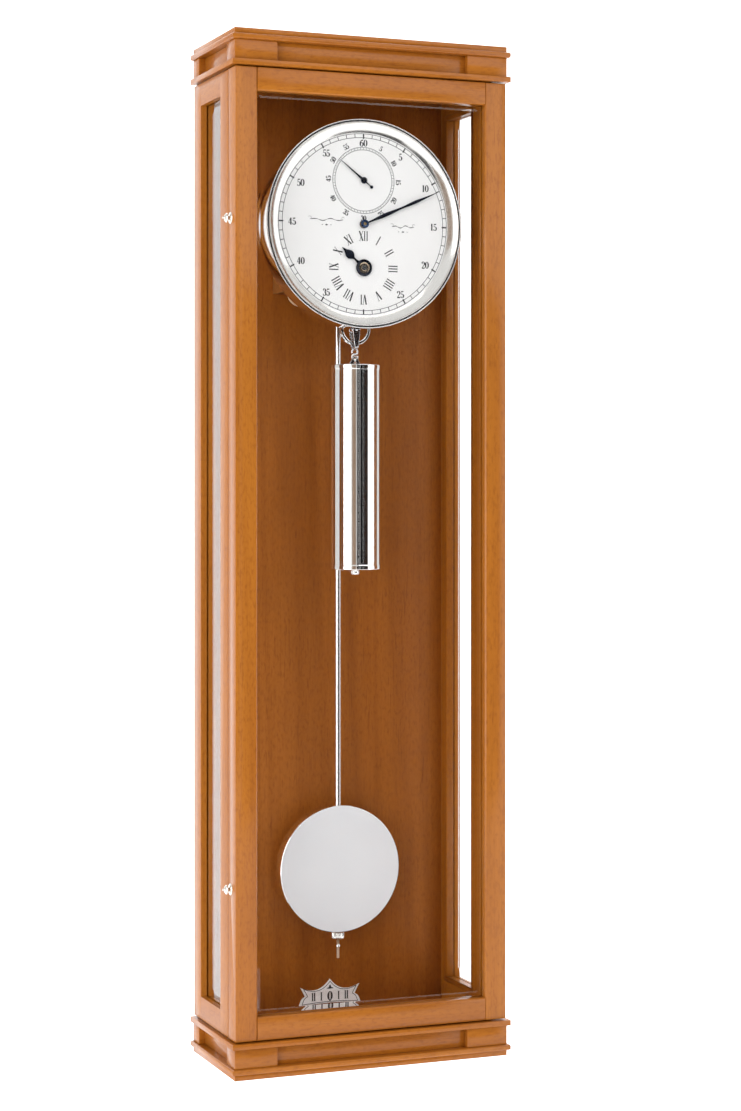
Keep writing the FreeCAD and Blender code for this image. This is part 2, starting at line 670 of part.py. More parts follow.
# tooth counts: wheel then pinion. The spacing of the arbors sets each pair's module
GREAT, CENTRE_PINION = 120, 10
CENTRE, THIRD_PINION = 80, 10
THIRD, ESCAPE_PINION = 75, 10
CANNON, MINUTE_WHEEL = 15, 45
MINUTE_PINION, HOUR_WHEEL = 12, 48
GREAT_MODULE = 2 * size("subdial_offset") / (GREAT + CENTRE_PINION)
CENTRE_MODULE = 0.6
THIRD_MODULE = 0.5
MOTION_MODULE = 0.8
THIRD_ARBOR = third_point(
    MINUTE, SECONDS, CENTRE_MODULE * (CENTRE + THIRD_PINION) / 2, THIRD_MODULE * (THIRD + ESCAPE_PINION) / 2
)
MOTION_ARBOR = third_point(
    HOUR, MINUTE, MOTION_MODULE * (MINUTE_PINION + HOUR_WHEEL) / 2,
    MOTION_MODULE * (CANNON + MINUTE_WHEEL) / 2,
)


def plates():
    """Two plates drilled for the arbors that turn in them. Four pillars and the cable's
    anchor post are riveted into the back one."""
    middle = "dial_height"
    drilled = {}
    for name, depth, wide, tall in (
        ("front_plate", "front_plate_depth", "front_plate_half_width", "front_plate_half_height"),
        ("back_plate", "back_plate_depth", "plate_half_width", "plate_half_height"),
    ):
        blank = box(
            f"{name}_blank", f"-{wide}", depth, f"{middle} - {tall}", f"2 * {wide}", "plate_thick",
            f"2 * {tall}",
        )
        corners = rounded(f"{name}_round", blank, size("plate_corner"), plate_corner_edge)
        holes = []
        bores = [
            (MINUTE, "arbor_radius"), (SECONDS, "pivot_radius"), (THIRD_ARBOR, "pivot_radius"),
            (PALLET, "pivot_radius"), (HOUR, "winding_arbor_radius"),
        ]
        if name == "front_plate":
            bores.append((MOTION_ARBOR, "pivot_radius"))
        for number, (spot, radius) in enumerate(bores):
            holes.append(rod(
                f"{name}_hole_{number}", f"{radius} + turn_gap", "plate_thick + 2", spot[0], f"{depth} - 1",
                spot[1], ALONG_Y,
            ))
        drilled[name] = cut(f"{name}_cut", corners, *holes)
    pillars = [rod(
        "cable_anchor", "1.5", "back_plate_depth - weight_depth + 2", "groove_radius + cable_radius",
        "weight_depth - 2", "cable_top + 1.5", ALONG_Y,
    )]
    for across in (-1, 1):
        for up in (-1, 1):
            spot = (
                f"{across} * (front_plate_half_width - 9)",
                f"{middle} + {up} * (front_plate_half_height - 10)",
            )
            pillars.append(rod(
                f"pillar_{across}_{up}", "pillar_radius",
                "back_plate_depth - front_plate_depth - plate_thick",
                spot[0], "front_plate_depth + plate_thick", spot[1], ALONG_Y,
            ))
    node("front_plate", drilled["front_plate"])
    node("back_plate", fuse("back_plate_body", drilled["back_plate"], *pillars))


def plate_corner_edge(middle, limits):
    """The four short edges at a plate's corners, which run along Y."""
    at_side = abs(middle.x - limits.XMin) < 1e-3 or abs(middle.x - limits.XMax) < 1e-3
    at_end = abs(middle.z - limits.ZMin) < 1e-3 or abs(middle.z - limits.ZMax) < 1e-3
    return at_side and at_end


def joined(name, spot, solids, bore=None):
    """One arbor with what is fast on it, bored through where a bore is given."""
    shape = solids[0].multiFuse(solids[1:]) if len(solids) > 1 else solids[0]
    if bore:
        shape = shape.cut(bore)
    return node(name, feature(name, shape.removeSplitter(), spot[0], 0, spot[1]))


def train():
    """The going train and the motion work, each wheel with a tooth in its pinion's space."""
    front = size("front_plate_depth")
    inside = front + size("plate_thick")
    behind = size("back_plate_depth") + size("plate_thick")
    arbor = size("arbor_radius")
    pivot = size("pivot_radius")
    gap = size("turn_gap")
    winding = size("winding_arbor_radius")
    dial_back = size("dial_front + dial_thick")

    to_centre = bearing(HOUR, MINUTE)
    great = gear(GREAT, GREAT_MODULE, to_centre, True, inside + 0.8, inside + 2.8)
    joined("great_wheel", HOUR, [great], disc(winding + gap, inside, inside + 4))
    ratchet_start = inside + 3.1
    barrel_start = size("weight_depth - winding_length / 2")
    square = Part.makeBox(4.2, 3, 4.2, FreeCAD.Vector(-2.1, size("dial_front") - 2.5, -2.1))
    teeth = ratchet(30, 11.0, 1.0, ratchet_start, ratchet_start + 1.2)
    barrel = [
        disc(winding, size("dial_front") + 0.4, behind), square, teeth,
        disc(size("winding_radius"), ratchet_start + 1, barrel_start + size("winding_length")),
        disc(11, barrel_start + size("winding_length"), barrel_start + size("winding_length") + 1),
    ]
    joined("winding_drum", HOUR, barrel)
    click = [
        disc(1.2, inside + 2.8, ratchet_start + 1.4),
        Part.makeBox(3.4, 1.2, 9, FreeCAD.Vector(-1.7, ratchet_start, 0)),
    ]
    for solid in click:
        solid.translate(FreeCAD.Vector(-18, 0, -2))
    node("great_wheel", group("great_wheel_and_click", nodes["great_wheel"], joined("click", HOUR, click)))
    del nodes["click"]

    to_third = bearing(MINUTE, THIRD_ARBOR)
    to_motion = bearing(MINUTE, MOTION_ARBOR)
    centre = [
        disc(arbor, size("dial_front") - 4.4, behind),
        gear(CENTRE_PINION, GREAT_MODULE, to_centre + 180, False, inside + 0.6, inside + 3),
        gear(CENTRE, CENTRE_MODULE, to_third, True, inside + 5.5, inside + 7),
        gear(CANNON, MOTION_MODULE, to_motion, False, dial_back + 4.4, dial_back + 6.6),
    ]
    joined("centre_wheel", MINUTE, centre)
    to_escape = bearing(THIRD_ARBOR, SECONDS)
    third = [
        disc(arbor, inside + 0.5, behind - size("plate_thick") - 0.5), disc(pivot, front, behind),
        gear(THIRD_PINION, CENTRE_MODULE, to_third + 180, False, inside + 5, inside + 7.5),
        gear(THIRD, THIRD_MODULE, to_escape, True, inside + 11.5, inside + 13),
    ]
    joined("third_wheel", THIRD_ARBOR, third)
    escape = [
        disc(arbor, inside + 0.5, behind - size("plate_thick") - 0.5),
        disc(pivot, size("dial_front") - 1.9, behind),
        gear(ESCAPE_PINION, THIRD_MODULE, to_escape + 180, False, inside + 11, inside + 13.5),
        ratchet(int(size("escape_teeth")), size("escape_radius"), 2.2, inside + 17, inside + 18.2),
    ]
    joined("escape_wheel", SECONDS, escape)

    to_hour = bearing(MOTION_ARBOR, HOUR)
    motion = [
        gear(MINUTE_WHEEL, MOTION_MODULE, to_motion + 180, True, dial_back + 4.6, dial_back + 6.4),
        gear(MINUTE_PINION, MOTION_MODULE, to_hour, False, dial_back + 0.8, dial_back + 4.6),
        disc(pivot, dial_back + 0.5, front + size("plate_thick")),
    ]
    joined("minute_wheel", MOTION_ARBOR, motion)
    hour = [
        gear(HOUR_WHEEL, MOTION_MODULE, to_hour + 180, True, dial_back + 1.4, dial_back + 3),
        disc(size("hour_pipe_radius"), size("dial_front") - 2.1, dial_back + 4),
    ]
    joined("hour_wheel", HOUR, hour, disc(winding + gap, size("dial_front") - 3, dial_back + 5))


def ratchet(teeth, radius, tall, start, end):
    """A wheel of saw teeth, each with one radial face."""
    corners = []
    for tooth in range(teeth):
        angle = 2 * math.pi * tooth / teeth
        for reach in (radius - tall, radius):
            corners.append(FreeCAD.Vector(reach * math.cos(angle), 0, reach * math.sin(angle)))
    return slid(Part.Face(Part.makePolygon(corners + corners[:1])), start, end)


def pallets():
    """The anchor over the escape wheel, its arbor, and the crutch that embraces the rod."""
    level = "front_plate_depth + plate_thick + 17"
    arbor = rod(
        "pallet_arbor", "pivot_radius", "back_plate_depth + 22 - front_plate_depth", 0, "front_plate_depth",
        "pivot_height", ALONG_Y,
    )
    top = box("anchor_bridge", "-14", level, "pivot_height - 2.5", "28", "1.4", "5")
    arms = []
    for hand in (-1, 1):
        x = "-14" if hand < 0 else "10.8"
        arms.append(box(f"anchor_arm_{hand}", x, level, "pivot_height - 9.5", "3.2", "1.4", "8"))
    crutch = box("crutch_arm", "-1.5", "back_plate_depth + 20", "pivot_height - 62", "3", "1.6", "63")
    bar = box("crutch_bar", "-5.2", "back_plate_depth + 20", "pivot_height - 64", "10.4", "6", "3")
    prongs = []
    for hand in (-1, 1):
        x = f"{hand} * (rod_radius + safe_gap + 0.8) - 0.8"
        prongs.append(
            box(f"crutch_prong_{hand}", x, "back_plate_depth + 25", "pivot_height - 64", "1.6", "11", "3"),
        )
    node("pallets", fuse("pallets_body", arbor, top, *arms, crutch, bar, *prongs))


def supports():
    """The bracket that carries the movement from the back panel, and the pendulum's cock."""
    leaf = box("bracket_leaf", "-60", f"{BACK_FRONT} - 2", "dial_height - 62", "120", "2", "124")
    window = box("bracket_window", "-46", f"{BACK_FRONT} - 3", "dial_height - 48", "92", "4", "96")
    arms = []
    for hand in (-1, 1):
        arms.append(box(
            f"bracket_arm_{hand}", f"{hand} * 59 - 1", "back_plate_depth + plate_thick", "dial_height - 62",
            "2", f"{BACK_FRONT} - back_plate_depth - plate_thick", "124",
        ))
    node("movement_bracket", fuse("bracket_body", cut("bracket_back", leaf, window), *arms))
    bar = box("cock_bar", "-7", "back_plate_depth + plate_thick", "pivot_height + 2", "14", "35", "10")
    slot = box("cock_slot", "-0.9", "pendulum_depth - 4.6", "pivot_height + 1", "1.8", "9.2", "7")
    node("suspension_cock", cut("cock_body", bar, slot))


# ---------------------------------------------------------------- weight

def weight():
    bottom = "weight_bottom"
    bore = "spine_radius + 0.1"
    tube = turned("weight_tube_body", "z", [
        (bore, "weight_cap"), ("weight_radius - 0.4", "weight_cap"),
        ("weight_radius - 0.4", "weight_height - weight_cap"), (bore, "weight_height - weight_cap"),
    ])
    node("weight_tube", place(tube, 0, "weight_depth", bottom))
    caps = []
    for end, low in (("bottom", bottom), ("top", f"{bottom} + weight_height - weight_cap")):
        cap = turned(f"weight_cap_{end}", "z", [
            (bore, "0"), ("weight_radius - 0.6", "0"), ("weight_radius", "0.6"),
            ("weight_radius", "weight_cap - 0.6"),
            ("weight_radius - 0.6", "weight_cap"), (bore, "weight_cap"),
        ])
        caps.append(place(cap, 0, "weight_depth", low))
    node("weight_caps", group("weight_cap_pair", *caps))
    spine = rod("weight_spine", "spine_radius", "weight_height + 0.5", 0, "weight_depth", bottom)
    nut = rod("weight_nut", "4.6", "5.5", 0, "weight_depth", f"{bottom} - 5.5")
    top = f"{bottom} + weight_height"
    eye = extruded("weight_eye", "XZ_Plane", [("-6", "0"), ("6", "0"), ("3.2", "8.6"), ("-3.2", "8.6")], "2")
    place(eye, 0, "weight_depth - 1", top)
    hole = rod("weight_eye_hole", "2.2", "4", 0, "weight_depth - 2", f"{top} + 4.9", ALONG_Y)
    node("weight_rod", cut("weight_rod_body", fuse("weight_rod_all", spine, nut, eye), hole))


def stirrup():
    """Two cheeks astride the pulley, its pin, and the tongue that the weight's ring hangs from."""
    cheek = [("-4", "0"), ("4", "0"), ("2", "-21.5"), ("-2", "-21.5")]
    parts = []
    for name, depth in (("front", "weight_depth - 5.5"), ("rear", "weight_depth + 4.3")):
        plate = extruded(f"cheek_{name}", "XZ_Plane", cheek, "1.2")
        parts.append(place(plate, 0, depth, "pulley_height"))
        parts.append(rod(f"cheek_eye_{name}", "4", "1.2", 0, depth, "pulley_height", ALONG_Y))
    parts.append(rod("pulley_pin", "2", "11", 0, "weight_depth - 5.5", "pulley_height", ALONG_Y))
    parts.append(
        box("stirrup_floor", "-2.2", "weight_depth - 5.5", "pulley_height - 17.8", "4.4", "11", "1.2"),
    )
    tongue = box("stirrup_tongue", "-2.2", "weight_depth - 1", "pulley_height - 22.5", "4.4", "2", "5.5")
    hole = rod(
        "tongue_hole", "1.4", "4", 0, "weight_depth - 2", "weight_bottom + weight_height + 15.1", ALONG_Y,
    )
    frame = fuse("stirrup_frame", *parts, cut("tongue_body", tongue, hole))
    link = ring("weight_ring", "5.1", "0.9", 0, "weight_depth", "weight_bottom + weight_height + 10", ALONG_X)
    node("pulley_stirrup", group("stirrup_and_ring", frame, link))
    wheel = turned("pulley_body", "y", [
        ("2 + turn_gap", "-3.4"), ("4", "-3.4"), ("4", "-2.4"), ("pulley_radius", "-2.4"),
        ("pulley_radius", "-1.8"),
        ("groove_radius", "-0.6"), ("groove_radius", "0.6"), ("pulley_radius", "1.8"),
        ("pulley_radius", "2.4"),
        ("4", "2.4"), ("4", "3.4"), ("2 + turn_gap", "3.4"),
    ])
    node("pulley", place(wheel, 0, "weight_depth", "pulley_height"))


def cable():
    """The cable: down from its anchor, round under the pulley and up to where it meets the
    turns already wound on the drum's left side."""
    thick = size("cable_radius")
    groove = size("groove_radius") + thick
    wound = size("winding_radius") + thick
    drum = FreeCAD.Vector(0, 0, size(HOUR_HEIGHT) - size("pulley_height"))
    lean = math.asin((groove - wound) / drum.z)
    out = FreeCAD.Vector(-math.cos(lean), 0, math.sin(lean))
    run = FreeCAD.Vector(math.sin(lean), 0, math.cos(lean))
    start = FreeCAD.Vector(groove, 0, size("cable_top - pulley_height"))
    right = FreeCAD.Vector(groove, 0, 0)
    left = out * groove
    meeting = math.sqrt((wound + thick + size("press_gap"))**2 - (wound - thick)**2)
    end = drum + out * wound - run * meeting
    arc = Part.Arc(right, FreeCAD.Vector(0, 0, -groove), left)
    runs = [Part.LineSegment(start, right).toShape(), arc.toShape(), Part.LineSegment(left, end).toShape()]
    path = Part.Wire(runs)
    section = Part.Wire(Part.Circle(start, FreeCAD.Vector(0, 0, 1), thick).toShape())
    tube = path.makePipeShell([section], True, True)
    filled = math.pi * thick**2 * path.Length
    print(f"cable length {path.Length:.1f} mm, volume {tube.Volume:.2f}, section x length {filled:.2f}")
    node("weight_cable", feature("weight_cable", tube, 0, "weight_depth", "pulley_height"))
    reach = "(winding_length / 2 - 0.7)"
    outer = "winding_radius + 2 * cable_radius"
    turns = turned("cable_turns", "y", [
        ("winding_radius", f"-{reach}"), (outer, f"-{reach}"), (outer, reach), ("winding_radius", reach),
    ])
    place(turns, 0, "weight_depth", HOUR_HEIGHT)
    node("winding_drum", group("drum_and_turns", nodes["winding_drum"], turns))


# ---------------------------------------------------------------- pendulum

def pendulum():
    strip = box("spring_strip", "-0.2", "pendulum_depth - 4", "pivot_height - 10", "0.4", "8", "17")
    node("suspension_spring", strip)
    tip_length = "(bob_height - bob_radius - rod_tip)"
    hook = box("rod_hook", "-3.4", "pendulum_depth - 5", "pivot_height - 18", "6.8", "10", "10")
    slot = box("hook_slot", "-0.2", "pendulum_depth - 4", "pivot_height - 10", "0.4", "8", "3")
    shaft = rod(
        "rod_shaft", "rod_radius", "pivot_height - 17 - bob_height + bob_radius", 0, "pendulum_depth",
        "bob_height - bob_radius",
    )
    screw = rod("rod_screw", "1.3", f"{tip_length} + 1", 0, "pendulum_depth", "rod_tip")
    node("pendulum_rod", fuse("rod_body", cut("rod_hook_cut", hook, slot), shaft, screw))
    half = "(bob_thick / 2)"
    disc_body = turned("bob_body", "y", [
        ("0", f"-{half}"), ("bob_radius - 1", f"-{half}"), ("bob_radius", f"-{half} + 1"),
        ("bob_radius", f"{half} - 1"), ("bob_radius - 1", half), ("0", half),
    ])
    place(disc_body, 0, "pendulum_depth", "bob_height")
    bore = rod(
        "bob_bore", "rod_radius + press_gap", "2 * bob_radius + 4", 0, "pendulum_depth",
        "bob_height - bob_radius - 2",
    )
    node("pendulum_bob", cut("bob_cut", disc_body, bore))
    nut = turned("nut_body", "z", [
        ("1.3 + turn_gap", "0"), ("nut_radius - 0.8", "0"), ("nut_radius", "0.8"),
        ("nut_radius", "nut_height - 0.8"),
        ("nut_radius - 0.8", "nut_height"), ("1.3 + turn_gap", "nut_height"),
    ])
    node("rating_nut", place(nut, 0, "pendulum_depth", "bob_height - bob_radius - nut_height - 0.4"))


def beat_scale():
    """The plate behind the pendulum's tip, shaped like a low crest."""
    wide = "scale_half_width"
    tall = "scale_height"
    right = [
        ("0", tall), (f"0.16 * {wide}", f"0.86 * {tall}"), (f"0.55 * {wide}", f"0.62 * {tall}"),
        (f"0.94 * {wide}", f"0.74 * {tall}"), (wide, f"0.02 * {tall}"), (f"0.6 * {wide}", f"0.2 * {tall}"),
    ]
    left = [(f"-({across})", up) for across, up in reversed(right[1:])]
    plate = extruded("scale_body", "XZ_Plane", right + [("0", f"0.26 * {tall}")] + left, "scale_thick")
    node("beat_scale", place(plate, 0, f"{BACK_FRONT} - scale_thick", f"{DOOR_BASE} + 0.3"))


def build():
    side_frame("left_side_frame", -1)
    side_frame("right_side_frame", 1)
    side_glass("left_side_glass", -1)
    side_glass("right_side_glass", 1)
    side_beads()
    back_panel()
    boards("crown", CROWN_BASE, True)
    boards("base", f"({DOOR_BASE} - shadow_gap)", False)
    door_frame()
    door_glazing()
    latch("high", "upper_latch")
    latch("low", "lower_latch")
    latch_rosettes()
    hinges()
    dial()
    hands()
    plates()
    train()
    pallets()
    supports()
    weight()
    stirrup()
    cable()
    pendulum()
    beat_scale()
    doc.recompute()


def write():
    """Checks every object, then writes each sub-part to its own file."""
    for item in doc.Objects:
        if "Invalid" in item.State or "Error" in item.State:
            raise RuntimeError(f"{item.Label} failed: {item.State}")
    for name, item in nodes.items():
        shape = item.Shape
        if shape.isNull() or not shape.isValid() or not shape.Solids:
            raise RuntimeError(f"{name} has no valid solid")
    os.makedirs("parts", exist_ok=True)
    for name, item in nodes.items():
        item.Shape.exportStep(f"parts/{name}.step")
    print(len(nodes), "sub-parts written")


build()
write()
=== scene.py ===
import math

import bmesh
import bpy
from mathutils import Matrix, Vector


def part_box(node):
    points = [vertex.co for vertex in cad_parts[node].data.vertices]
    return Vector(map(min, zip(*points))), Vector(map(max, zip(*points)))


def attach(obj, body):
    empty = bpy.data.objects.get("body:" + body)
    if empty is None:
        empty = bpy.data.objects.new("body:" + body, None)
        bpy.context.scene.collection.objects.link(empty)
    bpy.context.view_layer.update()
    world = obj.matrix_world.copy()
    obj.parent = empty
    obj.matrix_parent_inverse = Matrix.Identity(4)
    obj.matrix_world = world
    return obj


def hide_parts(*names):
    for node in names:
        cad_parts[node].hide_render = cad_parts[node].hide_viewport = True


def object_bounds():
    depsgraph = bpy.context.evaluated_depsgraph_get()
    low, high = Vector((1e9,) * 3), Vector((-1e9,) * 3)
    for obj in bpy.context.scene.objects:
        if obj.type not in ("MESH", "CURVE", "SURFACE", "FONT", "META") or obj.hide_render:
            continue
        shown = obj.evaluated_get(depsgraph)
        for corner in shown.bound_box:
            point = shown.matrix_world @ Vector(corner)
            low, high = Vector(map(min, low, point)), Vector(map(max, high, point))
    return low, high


# Looks of the pendulum wall clock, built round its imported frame.
# Lengths are metres. +X is right, -Y is towards the viewer and +Z is up.

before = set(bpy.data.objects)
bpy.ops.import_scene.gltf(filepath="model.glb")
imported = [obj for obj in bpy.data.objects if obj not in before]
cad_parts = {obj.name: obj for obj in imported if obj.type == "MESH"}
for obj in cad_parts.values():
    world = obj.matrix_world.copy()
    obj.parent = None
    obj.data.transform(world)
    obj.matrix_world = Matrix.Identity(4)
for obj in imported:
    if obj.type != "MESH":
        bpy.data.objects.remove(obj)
CAD_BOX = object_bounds()
MM = 0.001

bpy.context.scene.view_settings.view_transform = "Standard"


# ---------------------------------------------------------------- places read from the frame

def low(node):
    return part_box(node)[0]


def high(node):
    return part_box(node)[1]


def middle(node):
    return (low(node) + high(node)) / 2


DIAL = Vector((0, low("dial_plate").y, middle("dial_plate").z))
DIAL_RADIUS = (high("dial_plate").z - low("dial_plate").z) / 2
SUBDIAL_OFFSET = 42 * MM
SECONDS = DIAL + Vector((0, 0, SUBDIAL_OFFSET))
HOURS = DIAL - Vector((0, 0, SUBDIAL_OFFSET))
PRINT_FRONT = DIAL.y - 0.04 * MM
PULLEY = middle("pulley")
WEIGHT_LOW = low("weight_caps").z
WEIGHT_HIGH = high("weight_caps").z
BOB = middle("pendulum_bob")
NUT = middle("rating_nut")


# ---------------------------------------------------------------- materials

class Shader:
    """Builds one material's nodes, with the piece's own coordinates as its default space."""

    def __init__(self, name):
        self.material = bpy.data.materials.new(name)
        self.material.use_nodes = True
        self.tree = self.material.node_tree
        self.shader = self.tree.nodes["Principled BSDF"]
        self.place = self.add("ShaderNodeTexCoord").outputs["Object"]

    def add(self, kind, **settings):
        item = self.tree.nodes.new(kind)
        for key, value in settings.items():
            setattr(item, key, value)
        return item

    def feed(self, socket, value):
        """Links a socket, or sets its own number or colour."""
        if isinstance(value, (int, float)):
            socket.default_value = value
        elif isinstance(value, tuple):
            socket.default_value = (*value, 1) if len(socket.default_value) == 4 else value
        else:
            self.tree.links.new(value, socket)

    def mapped(self, scale=(1, 1, 1), offset=(0, 0, 0)):
        item = self.add("ShaderNodeMapping")
        self.feed(item.inputs["Vector"], self.place)
        item.inputs["Scale"].default_value = scale
        item.inputs["Location"].default_value = offset
        return item.outputs["Vector"]

    def noise(self, vector, scale, detail=3.0, rough=0.5):
        item = self.add("ShaderNodeTexNoise")
        self.feed(item.inputs["Vector"], vector)
        item.inputs["Scale"].default_value = scale
        item.inputs["Detail"].default_value = detail
        item.inputs["Roughness"].default_value = rough
        return item.outputs["Fac"]

    def ramp(self, value, start, end, to_start=0.0, to_end=1.0):
        item = self.add("ShaderNodeMapRange")
        limits = ("From Min", start), ("From Max", end), ("To Min", to_start), ("To Max", to_end)
        for name, number in limits:
            item.inputs[name].default_value = number
        self.feed(item.inputs["Value"], value)
        return item.outputs["Result"]

    def blend(self, share, a, b):
        item = self.add("ShaderNodeMix", data_type="RGBA")
        for number, value in ((0, share), (6, a), (7, b)):
            self.feed(item.inputs[number], value)
        return item.outputs[2]

    def bump(self, height, strength, distance):
        item = self.add("ShaderNodeBump")
        item.inputs["Strength"].default_value = strength
        item.inputs["Distance"].default_value = distance
        self.feed(item.inputs["Height"], height)
        self.feed(self.shader.inputs["Normal"], item.outputs["Normal"])

    def done(self, **sockets):
        for name, value in sockets.items():
            self.feed(self.shader.inputs[name.replace("_", " ")], value)
        return self.material


WOOD_TONES = {
    "case": ((0.40, 0.135, 0.012), (0.335, 0.102, 0.008), (0.19, 0.048, 0.004)),
    "back": ((0.40, 0.124, 0.015), (0.32, 0.092, 0.009), (0.17, 0.042, 0.004)),
}
# weight and roughness of the lacquer
LACQUER = {"case": (0.55, 0.14), "back": (0.2, 0.35)}
woods = {}


def wood(along, seed, tone="case"):
    """Lacquered cherry whose growth bands, fibres and short dark pores run along one axis, with a painted
    sheen: fixed darker bands along the grain.
    """
    key = (along, seed, tone)
    if key in woods:
        return woods[key]
    s = Shader(f"cherry_{tone}_{along}_{seed}")
    pale, mid, deep = WOOD_TONES[tone]
    shift = (seed * 0.37 + 0.11, seed * 0.53 + 0.07, seed * 0.71 + 0.23)

    def stretched(share):
        return s.mapped([share if axis == along else 1.0 for axis in "xyz"], shift)

    slow = s.noise(stretched(0.05), 24, 4, 0.6)
    figure = s.add("ShaderNodeTexWave", wave_type="BANDS", bands_direction="DIAGONAL")
    s.feed(figure.inputs["Vector"], stretched(0.035))
    for name, value in (("Scale", 22.0), ("Distortion", 6.5), ("Detail", 3.0), ("Detail Scale", 1.4)):
        figure.inputs[name].default_value = value
    fibre = s.noise(stretched(0.012), 1100, 2, 0.6)
    pore = s.noise(stretched(0.07), 620, 1, 0.4)
    # painted sheen: the wood's shifting chatoyance is painted as fixed darker bands along the grain
    painted_sheen_bands = s.noise(stretched(0.3), 34, 2, 0.5)
    fleck = s.noise(stretched(0.4), 420, 2, 0.6)
    tint = s.blend(s.ramp(slow, 0.32, 0.68), mid, pale)
    tint = s.blend(s.ramp(figure.outputs["Fac"], 0.5, 1.0, 0.0, 0.16), tint, deep)
    tint = s.blend(s.ramp(painted_sheen_bands, 0.4, 0.75, 0.0, 0.18), tint, deep)
    tint = s.blend(s.ramp(fibre, 0.45, 0.75, 0.0, 0.24), tint, deep)
    tint = s.blend(s.ramp(fleck, 0.48, 0.72, 0.0, 0.42), tint, deep)
    tint = s.blend(s.ramp(pore, 0.66, 0.74, 0.0, 0.35), tint, deep)
    s.bump(fibre, 0.1, 0.0002)
    woods[key] = s.done(
        Base_Color=tint, Roughness=s.ramp(slow, 0.3, 0.7, 0.42, 0.52), Specular_IOR_Level=0.08,
        Coat_Weight=LACQUER[tone][0], Coat_Roughness=LACQUER[tone][1],
    )
    return woods[key]


def plated(name, tint, rough, wear, along=None, bump=0.03):
    """Bright plate: wipe marks that vary its gloss, or fine brushing along one axis."""
    s = Shader(name)
    stretch = [0.02 if axis == along else 1.0 for axis in "xyz"]
    marks = s.noise(s.mapped(stretch), 700 if along else 90, 3, 0.6)
    cloud = s.noise(s.place, 40, 4, 0.6)
    tint = s.blend(s.ramp(cloud, 0.45, 0.8, 0.0, 0.5), tint, tuple(value * 0.88 for value in tint))
    s.bump(marks, bump, 0.00006)
    return s.done(Base_Color=tint, Metallic=1.0, Roughness=s.ramp(marks, 0.3, 0.75, rough, rough + wear))


def turned_silver():
    """The bob's matt silvered face, with faint turning rings round its centre."""
    s = Shader("matt_silver")
    flat = s.mapped((1, 0, 1), (-BOB.x, 0, -BOB.z))
    reach = s.add("ShaderNodeVectorMath", operation="LENGTH")
    s.feed(reach.inputs[0], flat)
    rings = s.add("ShaderNodeTexNoise", noise_dimensions="1D")
    s.feed(rings.inputs["W"], reach.outputs["Value"])
    rings.inputs["Scale"].default_value = 2200
    cloud = s.noise(s.place, 16, 3)
    tint = s.blend(s.ramp(cloud, 0.3, 0.75), (0.95, 0.965, 0.99), (0.87, 0.885, 0.92))
    s.bump(rings.outputs["Fac"], 0.06, 0.00005)
    return s.done(Base_Color=tint, Metallic=0.1, Roughness=s.ramp(rings.outputs["Fac"], 0.3, 0.7, 0.40, 0.50))


def brass(name="satin_brass", light=(0.83, 0.60, 0.30), dark=(0.66, 0.45, 0.19), metal=1.0, rough=0.20):
    s = Shader(name)
    cloud = s.noise(s.place, 60, 4)
    fine = s.noise(s.mapped((1, 1, 0.03)), 900, 2)
    tint = s.blend(s.ramp(cloud, 0.35, 0.75), light, dark)
    s.bump(fine, 0.06, 0.0001)
    return s.done(Base_Color=tint, Metallic=metal, Roughness=s.ramp(fine, 0.3, 0.7, rough, rough + 0.12))


def enamel(name="white_enamel", tint=(0.93, 0.928, 0.922)):
    """Matt white paint with a very fine tooth."""
    s = Shader(name)
    tooth = s.noise(s.place, 2200, 2)
    cloud = s.noise(s.place, 18, 3)
    tint = s.blend(s.ramp(cloud, 0.3, 0.7), tint, tuple(value * 0.97 for value in tint))
    s.bump(tooth, 0.05, 0.00004)
    return s.done(Base_Color=tint, Roughness=s.ramp(tooth, 0.3, 0.7, 0.45, 0.58), Specular_IOR_Level=0.3)


# black for the printing, also used as painted shade in the bezel's groove
def ink():
    s = Shader("black_print_and_painted_shade")
    grain = s.noise(s.place, 1500, 2)
    tint = s.blend(s.ramp(grain, 0.3, 0.7), (0.012, 0.012, 0.014), (0.03, 0.03, 0.033))
    return s.done(Base_Color=tint, Roughness=s.ramp(grain, 0.3, 0.7, 0.42, 0.58))


def blued(name="blued_steel", dark=(0.006, 0.007, 0.012), light=(0.014, 0.018, 0.034)):
    """Heat-blued steel, almost black, with a cold sheen."""
    s = Shader(name)
    cloud = s.noise(s.place, 160, 3)
    fine = s.noise(s.place, 1800, 2)
    tint = s.blend(s.ramp(cloud, 0.3, 0.7), dark, light)
    s.bump(fine, 0.04, 0.00004)
    return s.done(Base_Color=tint, Metallic=0.6, Roughness=s.ramp(fine, 0.3, 0.7, 0.18, 0.28))


def clear_glass():
    """Clear glass with a faint uneven tint, which lets the lamps' light through."""
    s = Shader("clear_glass")
    tint = s.blend(s.ramp(s.noise(s.place, 6, 2), 0.3, 0.7), (1.0, 1.0, 1.0), (0.985, 0.99, 0.988))
    s.done(Base_Color=tint, Roughness=0.0, IOR=1.5, Transmission_Weight=1.0)
    clear = s.add("ShaderNodeBsdfTransparent")
    mixed = s.add("ShaderNodeMixShader")
    s.feed(mixed.inputs[0], s.add("ShaderNodeLightPath").outputs["Is Shadow Ray"])
    s.feed(mixed.inputs[1], s.shader.outputs[0])
    s.feed(mixed.inputs[2], clear.outputs[0])
    s.feed(s.tree.nodes["Material Output"].inputs["Surface"], mixed.outputs[0])
    return s.material


